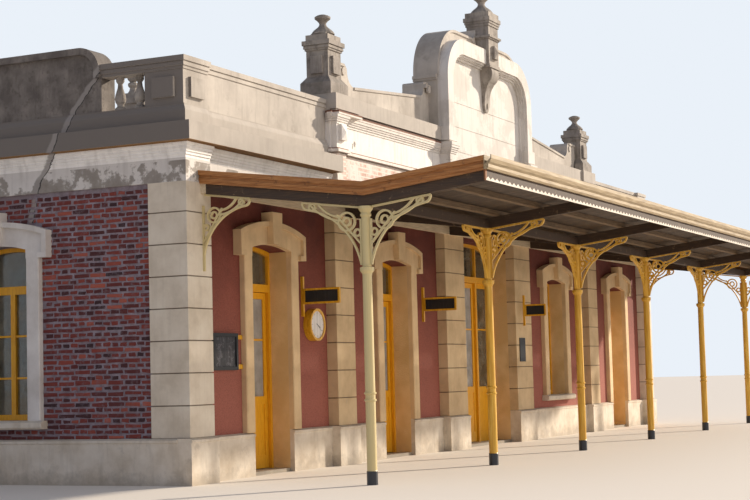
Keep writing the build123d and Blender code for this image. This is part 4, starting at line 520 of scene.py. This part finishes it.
def windowGlass(name, look):
    mat, place = newMaterial(name)
    wave = put(mat, "TexNoise", {"Scale": perMetre(look["wave"]), "Detail": 1.0}, {"Vector": place})
    film = put(mat, "TexNoise", {"Scale": perMetre(look["dustPatch"]), "Detail": 6.0}, {"Vector": place})
    amount = put(mat, "MapRange", {"From Min": 0.3, "From Max": 0.8, "To Min": look["least"],
                                   "To Max": look["most"]}, {"Value": film})
    bump = put(mat, "Bump", {"Strength": 1.0, "Distance": look["bump"]}, {"Height": wave})
    clear = put(mat, "BsdfPrincipled", {"Base Color": look["tint"], "Roughness": 0.03, "IOR": 1.52,
                                        "Transmission Weight": 1.0}, {"Normal": bump})
    dull = put(mat, "BsdfDiffuse", {"Color": look["dust"]})
    both = put(mat, "MixShader", {}, {0: amount, 1: clear, 2: dull})
    put(mat, "OutputMaterial", {}, {"Surface": both})
    return mat


glass = windowGlass("windowGlass", glassLook)
# the doors' panes are mostly pale and dull
paleDoorGlass = windowGlass("paleDoorGlass", dict(glassLook, dust="#bdb8b2", least=0.45, most=0.8))
print("materials made")

finishes = {
    redWall: ["front_wall_piers", "rear_wall_piers"],
    mortar: ["end_wall_piers"],
    apronWall: ["wall_aprons", "wall_heads"],
    paintedRender: ["pilasters"],
    ochreRender: ["surround_jambs", "arched_hoods"],
    plinthRender: ["plinths", "window_sills"],
    sootAndShadeCement: ["end_parapets"],
    cementRender: ["long_parapets", "balustrade_rails", "attic_parapets", "pediment_back"],
    darkCement: ["pinnacles", "balusters", "pediment_pier", "ball_finials"],
    atticRender: ["attic_wall"],
    panelRender: ["pediment_front"],
    entablature: ["long_cornices", "end_cornices"],
    roofScreed: ["roof_slab"],
    floorCement: ["floor_slab", "thresholds"],
    ochreJoinery: ["door_posts", "fanlight_frames", "window_frames", "side_leaves"],
    glass: ["fixed_glass"],
    paleDoorGlass: [],
    canopyTimber: ["rafters", "valley_beams", "eaves_strip"],
    creamPlate: ["wall_plate"],
    purlinPaintAndLight: ["purlins"],
    zincSheet: ["canopy_sheets"],
    fasciaPaint: ["end_fascias"],
    gutterPaint: ["front_gutter"],
    columnPaint: ["canopy_columns", "cross_brackets", "along_brackets"],
    yellowEnamel: ["clock", "sign_boards"],
    blackPaint: ["wall_boards"],
}
for name in nodes:
    if name.endswith("_leaf"):
        finishes[ochreJoinery].append(name)
    if name.endswith("_glass") and name != "fixed_glass":
        finishes[paleDoorGlass].append(name)
for mat, names in finishes.items():
    for name in names:
        for materialSlot in nodes[name].material_slots:
            materialSlot.material = mat


# Surfaces

# puts vertices and faces into a mesh, gives it a material and sets it on a body
def piece(name, verts, faces, mat, slotName, body="building", smooth=False, tone=None):
    mesh = bpy.data.meshes.new(name)
    mesh.from_pydata(np.asarray(verts).reshape(-1, 3), [], np.asarray(faces).tolist())
    if tone is not None:
        tones = mesh.attributes.new("tone", "FLOAT", "POINT").data
        tones.foreach_set("value", np.asarray(tone, np.float32))
    if smooth:
        mesh.polygons.foreach_set("use_smooth", np.ones(len(mesh.polygons), bool))
    mesh.materials.append(mat)
    mesh.update()
    obj = bpy.data.objects.new(name, mesh)
    bpy.context.scene.collection.objects.link(obj)
    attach(obj, body)
    return obj


# quads of a grid of rows x columns points, which may close round its columns
def gridFaces(rows, columns, closeColumns=False):
    r = np.arange(rows - 1)[:, None]
    c = np.arange(columns if closeColumns else columns - 1)[None, :]
    r2, c2 = r + 1, (c + 1) % columns
    quad = np.stack([r * columns + c, r * columns + c2, r2 * columns + c2, r2 * columns + c], axis=-1)
    return quad.reshape(-1, 4)


# the same small mesh many times: verts is copies x points x 3, faces are those of one copy
def repeated(verts, faces):
    copies, points = verts.shape[:2]
    everyFace = np.arange(copies)[:, None, None] * points + faces[None]
    return verts.reshape(-1, 3), everyFace.reshape(-1, faces.shape[1])


# A low pillow on a flat face is a 4 x 4 grid. Its outer ring runs from (u0, v0) to (u1, v1), in metres
# along and up, and its inner ring lies in by edge. Gives the distances along and up of each point.
def pillowGrid(u0, v0, u1, v1, edge):
    us = np.stack([u0, u0 + edge, u1 - edge, u1], axis=1)[:, None, :].repeat(4, axis=1)
    vs = np.stack([v0, v0 + edge, v1 - edge, v1], axis=1)[:, :, None].repeat(4, axis=2)
    return us, vs


# 1 on a pillow's inner ring, 0 on its outer one
innerRing = np.pad(np.ones((2, 2)), 1)


# pillows on a face: each point is origin + us * along + vs * up + depth * outward
def onFace(face, us, vs, depth):
    origin, along, outward = (np.array(x, float) for x in face)
    up = np.array([0, 0, 1.0])
    points = origin + us[..., None] * along + vs[..., None] * up + depth[..., None] * outward
    return repeated(points.reshape(len(us), 16, 3), gridFaces(4, 4))


# pillows that all stand out by rise
def pillows(face, patches, edge, rise):
    us, vs = pillowGrid(*np.array(patches, float).T, edge)
    return onFace(face, us, vs, np.broadcast_to(innerRing * rise, us.shape))


# Bricks of the end walls in English bond, each a pillow whose outer ring lies in the mortar and whose
# inner ring is the arris, which stands out by proud. The scatters are in metres.
brickwork = {"course": 0.07, "stretcher": 0.26, "joint": 0.025, "proud": 0.007, "edge": 0.008, "seed": 11,
             "least": 0.035, "margin": 0.004, "lengthScatter": 0.006, "levelScatter": 0.0025,
             "heightScatter": 0.003, "startScatter": 0.003, "cornerScatter": 0.0042, "proudScatter": 0.0015,
             "faceScatter": 0.0012, "tone": 0.45, "toneScatter": 0.27}
endWall = {"halfDepth": 3.0, "corner": 0.58, "windowHalf": 0.71, "hoodLap": 0.16}
twoSides = (("left", -1), ("right", 1))


def brickSkin(name, face, width, low, high, hole):
    look = brickwork
    rng = np.random.default_rng(look["seed"])
    lefts, levels, sizes = [], [], []
    for row in range(int((high - low) / look["course"])):
        size = look["stretcher"] if row % 2 == 0 else look["stretcher"] / 2
        start = 0.0 if row % 2 == 0 else -look["stretcher"] / 4
        left = np.arange(start - size, width + size, size)
        lefts.append(left)
        levels.append(np.full(left.shape, low + row * look["course"]))
        sizes.append(np.full(left.shape, size))
    u0, v0, size = (np.concatenate(x) for x in (lefts, levels, sizes))
    count = len(u0)
    u1 = u0 + size - look["joint"] + rng.normal(0, look["lengthScatter"], count)
    v0 = v0 + rng.normal(0, look["levelScatter"], count)
    v1 = v0 + look["course"] - look["joint"] + rng.normal(0, look["heightScatter"], count)
    u0 = np.maximum(u0 + rng.normal(0, look["startScatter"], count), look["margin"])
    u1 = np.minimum(u1, width - look["margin"])
    holeLeft, holeRight, holeLow, holeHigh = hole
    beside = (v1 > holeLow) & (v0 < holeHigh)
    middle = (holeLeft + holeRight) / 2
    u1 = np.where(beside & (u0 < middle), np.minimum(u1, holeLeft), u1)
    u0 = np.where(beside & (u0 >= middle), np.maximum(u0, holeRight), u0)
    keep = (u1 - u0 > look["least"]) & (v1 < high)
    count = int(keep.sum())
    us, vs = pillowGrid(u0[keep], v0[keep], u1[keep], v1[keep], look["edge"])
    corners = rng.normal(0, look["cornerScatter"], (2, count, 4, 4))
    depth = innerRing * (look["proud"] + rng.normal(0, look["proudScatter"], count)[:, None, None]
                         + rng.normal(0, look["faceScatter"], (count, 4, 4)))
    tone = np.clip(rng.normal(look["tone"], look["toneScatter"], count), 0, 1).repeat(16)
    piece(name, *onFace(face, us + corners[0], vs + corners[1], depth), brick, "brickwork", tone=tone)


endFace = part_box("end_wall_piers")[1].x
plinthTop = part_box("plinths")[1].z
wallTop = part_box("front_wall_piers")[1].z
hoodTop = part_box("arched_hoods")[1].z
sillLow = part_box("window_sills")[0].z
endHalf = endWall["halfDepth"] - endWall["corner"]
hole = (endHalf - endWall["windowHalf"], endHalf + endWall["windowHalf"], sillLow,
        hoodTop - endWall["hoodLap"])
for sideName, side in twoSides:
    face = ((side * endFace, -side * endHalf, 0), (0, side, 0), (side, 0, 0))
    brickSkin(sideName + "_end_bricks", face, 2 * endHalf, plinthTop, wallTop, hole)
print("bricks laid")


# Corrugated sheets: each wing is a grid along X and down the slope, height is a cosine of X
sheeting = {"pitch": 0.076, "depth": 0.018, "perWave": 8, "thickness": 0.001, "margin": 0.002, "lap": 0.02,
            "drop": 0.0019}
sheetLow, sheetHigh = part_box("canopy_sheets")
valleyLow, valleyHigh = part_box("valley_beams")
valleyY = (valleyLow.y + valleyHigh.y) / 2
plateLow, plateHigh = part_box("wall_plate")
stripLow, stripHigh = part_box("eaves_strip")
innerSlope = (plateLow.z - valleyLow.z) / (plateHigh.y - valleyY)
outerSlope = (stripLow.z - valleyLow.z) / (valleyY - stripHigh.y)


def corrugatedWing(y0, y1, slope):
    look = sheeting
    waves = int((sheetHigh.x - sheetLow.x) / look["pitch"])
    xs = np.linspace(sheetLow.x + look["margin"], sheetHigh.x - look["margin"], waves * look["perWave"] + 1)
    x, y = np.meshgrid(xs, np.linspace(y0, y1, 3))
    phase = 2 * np.pi * (x - sheetLow.x) / look["pitch"]
    z = sheetLow.z - look["drop"] + slope * np.abs(y - valleyY) + look["depth"] / 2 * (1 + np.cos(phase))
    return np.stack([x, y, z], axis=-1)


wings = [corrugatedWing(valleyY - sheeting["lap"], sheetLow.y + sheeting["margin"], outerSlope),
         corrugatedWing(sheetHigh.y - sheeting["margin"], valleyY + sheeting["lap"], innerSlope)]
bothWings = repeated(np.stack([w.reshape(-1, 3) for w in wings]), gridFaces(*wings[0].shape[:2]))
sheets = piece("corrugated_sheets", *bothWings, zincSheet, "canopy_sheet", smooth=True)
solid = sheets.modifiers.new("thickness", "SOLIDIFY")
solid.thickness = sheeting["thickness"]
solid.offset = -1
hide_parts("canopy_sheets")
print("canopy sheeted")


# Fittings

# A profile of (radius, distance) turned about an axis at a place: the surface is
# place + distance * axis + radius * (cos a * side + sin a * other).
def turned(profile, place, axis, sides=24):
    axis, place = np.array(axis, float), np.array(place, float)
    side = np.cross(axis, (0, 0, 1.0) if abs(axis[2]) < 0.9 else (1.0, 0, 0))
    side /= np.linalg.norm(side)
    other = np.cross(axis, side)
    angle = np.linspace(0, 2 * np.pi, sides, endpoint=False)[None, :, None]
    radius, distance = np.array(profile, float).T[..., None, None]
    points = place + distance * axis + radius * (np.cos(angle) * side + np.sin(angle) * other)
    return points.reshape(-1, 3), gridFaces(len(profile), sides, closeColumns=True)


# a small painted fitting from its vertices and faces
def fitting(name, shape, mat, smooth=False):
    piece(name, *shape, mat, "fitting_paint", smooth=smooth)


# the stretches along X where a node has points, parted by gaps
def spans(name, gap):
    values = np.unique([v.co.x for v in nodes[name].data.vertices])
    starts = np.concatenate([[0], np.nonzero(np.diff(values) > gap)[0] + 1])
    ends = np.concatenate([starts[1:] - 1, [len(values) - 1]])
    return [(float(values[a]), float(values[b])) for a, b in zip(starts, ends)]


# Black panels on both sides of the hanging signs. Each runs from its front end to a gap before the wall,
# which stands further back at the left sign.
signs = {"recess": 0.0128, "rise": 0.0015, "edge": 0.004, "low": 2.4005, "high": 2.5695, "front": -3.4315,
         "leftWall": -2.83, "rightWall": -3.0, "wallGap": 0.0675}
for number, (x0, x1) in enumerate(spans("sign_boards", 0.3)):
    middle = (x0 + x1) / 2
    wall = signs["rightWall"] if middle > 0 else signs["leftWall"]
    patch = (0.0, signs["low"], wall - signs["wallGap"] - signs["front"], signs["high"])
    for sideName, side in twoSides:
        face = ((middle + side * signs["recess"], signs["front"], 0), (0, 1, 0), (side, 0, 0))
        verts, faces = pillows(face, [patch], signs["edge"], signs["rise"])
        faces = faces if side > 0 else faces[:, ::-1]
        fitting("sign_panel_%d_%s" % (number + 1, sideName), (verts, faces), blackPaint)

# Clock: a domed dial, twelve ticks and two hands near four o'clock. A tick or hand is (from, to, width),
# in metres from the middle, and a hand's angle is in degrees.
clock = {"dial": [(0.199, 0.0), (0.19303, 0.0012), (0.0995, 0.002), (0.001, 0.0022)], "well": 0.0146,
         "tick": (0.155, 0.185, 0.006), "hour": (-0.03, 0.10, 0.012), "minute": (-0.03, 0.155, 0.009),
         "hourAngle": 118, "minuteAngle": 127, "tickLift": 0.0028, "handLift": 0.0036,
         "sides": 48}
clockLow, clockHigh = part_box("clock")
clockX, clockZ = (clockLow.x + clockHigh.x) / 2, (clockLow.z + clockHigh.z) / 2
dialY = clockLow.y + clock["well"]
dial = turned(clock["dial"], (clockX, dialY, clockZ), (0, -1, 0), clock["sides"])
fitting("clock_dial", dial, dialEnamel, smooth=True)


# bars on the dial from radius r0 to r1, tapered, at an angle clockwise from the top
def dialBars(name, bars, lift):
    r0, r1, width, degrees = np.array(bars, float).T[..., None]
    angle = np.radians(degrees)
    out = np.concatenate([np.sin(angle), np.cos(angle)], axis=1)
    side = np.concatenate([np.cos(angle), -np.sin(angle)], axis=1)
    corners = [out * r0 - side * width / 2, out * r1 - side * width / 3,
               out * r1 + side * width / 3, out * r0 + side * width / 2]
    flat = np.stack(corners, axis=1)
    depth = np.full(flat.shape[:2], dialY - lift)
    points = np.stack([clockX + flat[..., 0], depth, clockZ + flat[..., 1]], axis=-1)
    fitting(name, repeated(points, np.array([[0, 3, 2, 1]])), blackPaint)


dialBars("clock_ticks", [(*clock["tick"], 30 * hour) for hour in range(12)], clock["tickLift"])
dialBars("clock_hands", [(*clock["hour"], clock["hourAngle"]), (*clock["minute"], clock["minuteAngle"])],
         clock["handLift"])

# Notice boards, left and right: a worn panel in each frame, and two yellow tabs that hold the larger one
boards = [{"front": -2.86, "low": 1.44, "high": 1.93, "frame": 0.045},
          {"front": -3.006, "low": 1.51, "high": 1.96, "frame": 0.04}]
panel = {"edge": 0.006, "rise": 0.0015, "lift": 0.0005}
tabs = {"wall": -2.831, "width": 0.154, "levels": [(1.848, 1.91), (1.451, 1.518)], "edge": 0.004,
        "rise": 0.024}
boardSpans = spans("wall_boards", 1.0)
for number, ((x0, x1), board) in enumerate(zip(boardSpans, boards)):
    inset = board["frame"]
    patch = (inset, board["low"] + inset, x1 - x0 - inset, board["high"] - inset)
    face = ((x0, board["front"] - panel["lift"], 0), (1, 0, 0), (0, -1, 0))
    worn = pillows(face, [patch], panel["edge"], panel["rise"])
    fitting("board_panel_%d" % (number + 1), worn, wornBoard)
face = ((boardSpans[0][1], tabs["wall"], 0), (1, 0, 0), (0, -1, 0))
patches = [(0, low, tabs["width"], high) for low, high in tabs["levels"]]
fitting("board_tabs", pillows(face, patches, tabs["edge"], tabs["rise"]), yellowEnamel)

# Saw-toothed strip before the eaves: its height over X is a triangle wave on a plain band
teeth = {"pitch": 0.14, "band": 0.016, "tooth": 0.034, "before": 0.003, "margin": 0.01, "foot": 0.001,
         "tip": 0.0005}
toothCount = int((stripHigh.x - stripLow.x) / teeth["pitch"])
teethX = np.linspace(stripLow.x + teeth["margin"], stripHigh.x - teeth["margin"], 2 * toothCount + 1)
level = np.ones(teethX.shape)
tops = teeth["band"] + teeth["tooth"] * (np.arange(len(teethX)) % 2) + teeth["tip"]
levels = stripLow.z + np.stack([level * teeth["foot"], level * teeth["band"], tops])
across = np.broadcast_to(teethX, levels.shape)
before = np.full(levels.shape, stripLow.y - teeth["before"])
grid = np.stack([across, before, levels], axis=-1)
piece("tooth_strip", grid, gridFaces(3, len(teethX)), stripPaint, "gutter_paint")

# two bowl-shaped lamps under the plate along the wall
lamps = {"across": (2.607, 7.127), "level": 3.78, "off": 0.002,
         "bowl": [(0.075, 0.0), (0.075, 0.014), (0.066, 0.02), (0.06, 0.034), (0.04, 0.054), (0.002, 0.062)]}
for number, x in enumerate(lamps["across"]):
    bowl = turned(lamps["bowl"], (x, plateLow.y - lamps["off"], lamps["level"]), (0, -1, 0))
    fitting("wall_lamp_%d" % (number + 1), bowl, dialEnamel, smooth=True)

# two porcelain insulators on the left end, each with two skirts
insulators = {"places": [(-2.01, 4.521), (-2.64, 4.478)], "inwards": 0.036, "sides": 16,
              "skirts": [(0.002, -0.05), (0.03, -0.048), (0.034, -0.03), (0.022, -0.016), (0.03, 0.0),
                         (0.03, 0.016), (0.018, 0.03), (0.002, 0.034)]}
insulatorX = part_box("end_cornices")[0].x + insulators["inwards"]
for number, (y, z) in enumerate(insulators["places"]):
    bell = turned(insulators["skirts"], (insulatorX, y, z), (0, 0, -1), insulators["sides"])
    fitting("insulator_%d" % (number + 1), bell, dialEnamel, smooth=True)
print("fittings placed")


# Stage

studio = {"place": (-27.734, -14.074, 1.3235), "yaw": 25.7923, "pitch": 4.3908, "roll": -1.5006,
          "focal": 1629.548, "imageWidth": 750, "sensor": 36.0, "farthest": 500.0,
          "sun": 5.8, "sunTint": "#fff0dc", "sunAngle": 2.5, "sunWay": (-0.8, 0.47, -0.39),
          "world": 0.42, "worldTint": "#dde6ff", "skyTint": "#eaf1f9",
          "floor": "#d9d2c8", "floorSize": 200.0,
          "strip": 2400.0, "stripSize": (40.0, 6.0), "stripPlace": (-4.0, -30.0, 6.5),
          "stripWay": (0.12, 1.0, -0.16)}


def aimedCamera(look):
    yaw, pitch, roll = (math.radians(look[k]) for k in ("yaw", "pitch", "roll"))
    ahead = Vector((math.cos(pitch) * math.cos(yaw), math.cos(pitch) * math.sin(yaw), math.sin(pitch)))
    right = Vector((math.sin(yaw), -math.cos(yaw), 0))
    up = right.cross(ahead)
    tiltedRight = right * math.cos(roll) + up * math.sin(roll)
    tiltedUp = up * math.cos(roll) - right * math.sin(roll)
    data = bpy.data.cameras.new("camera")
    data.sensor_width = look["sensor"]
    data.lens = look["focal"] / look["imageWidth"] * look["sensor"]
    data.clip_end = look["farthest"]
    camera = bpy.data.objects.new("camera", data)
    columns = [(*tiltedRight, 0), (*tiltedUp, 0), (*-ahead, 0), (*look["place"], 1)]
    camera.matrix_world = Matrix(columns).transposed()
    bpy.context.scene.collection.objects.link(camera)
    bpy.context.scene.camera = camera


# a lamp that shines one way
def lampToward(name, kind, energy, tint, way):
    data = bpy.data.lights.new(name, kind)
    data.energy = energy
    data.color = linear(tint)[:3]
    lamp = bpy.data.objects.new(name, data)
    lamp.rotation_euler = Vector(way).to_track_quat("-Z", "Y").to_euler()
    bpy.context.scene.collection.objects.link(lamp)
    return lamp


def sunLamp(look):
    lamp = lampToward("key", "SUN", look["sun"], look["sunTint"], look["sunWay"])
    lamp.data.angle = math.radians(look["sunAngle"])


# a long soft light far before the platform lifts the shade under the canopy
def stripLamp(look):
    lamp = lampToward("fill", "AREA", look["strip"], look["sunTint"], look["stripWay"])
    lamp.data.shape = "RECTANGLE"
    lamp.data.size, lamp.data.size_y = look["stripSize"]
    lamp.location = look["stripPlace"]
    lamp.visible_camera = False
    lamp.visible_glossy = False


# the world lights softly and shows as a pale backdrop to the camera and in glass and metal
def softWorld(look):
    world = bpy.data.worlds.new("studio")
    world.use_nodes = True
    world.node_tree.nodes.clear()
    rays = put(world, "LightPath").outputs
    seen = rays["Is Camera Ray"]
    for kind in ("Is Glossy Ray", "Is Transmission Ray"):
        seen = put(world, "Math", {"operation": "MAXIMUM"}, {0: seen, 1: rays[kind]})
    lit = put(world, "Background", {"Color": look["worldTint"], "Strength": look["world"]})
    backdrop = put(world, "Background", {"Color": look["skyTint"], "Strength": 1.0})
    both = put(world, "MixShader", {}, {0: seen, 1: lit, 2: backdrop})
    put(world, "OutputWorld", {}, {"Surface": both})
    bpy.context.scene.world = world


def paleFloor(look):
    size = look["floorSize"]
    mesh = bpy.data.meshes.new("floor")
    corners = [(-size, -size, 0), (size, -size, 0), (size, size, 0), (-size, size, 0)]
    mesh.from_pydata(corners, [], [(0, 1, 2, 3)])
    mat = newMaterial("floor")[0]
    mesh.materials.append(finishMaterial(mat, look["floor"], rough=0.9))
    obj = bpy.data.objects.new("floor", mesh)
    bpy.context.scene.collection.objects.link(obj)


aimedCamera(studio)
sunLamp(studio)
stripLamp(studio)
softWorld(studio)
paleFloor(studio)
bpy.context.scene.view_settings.view_transform = "Standard"
print("studio set")
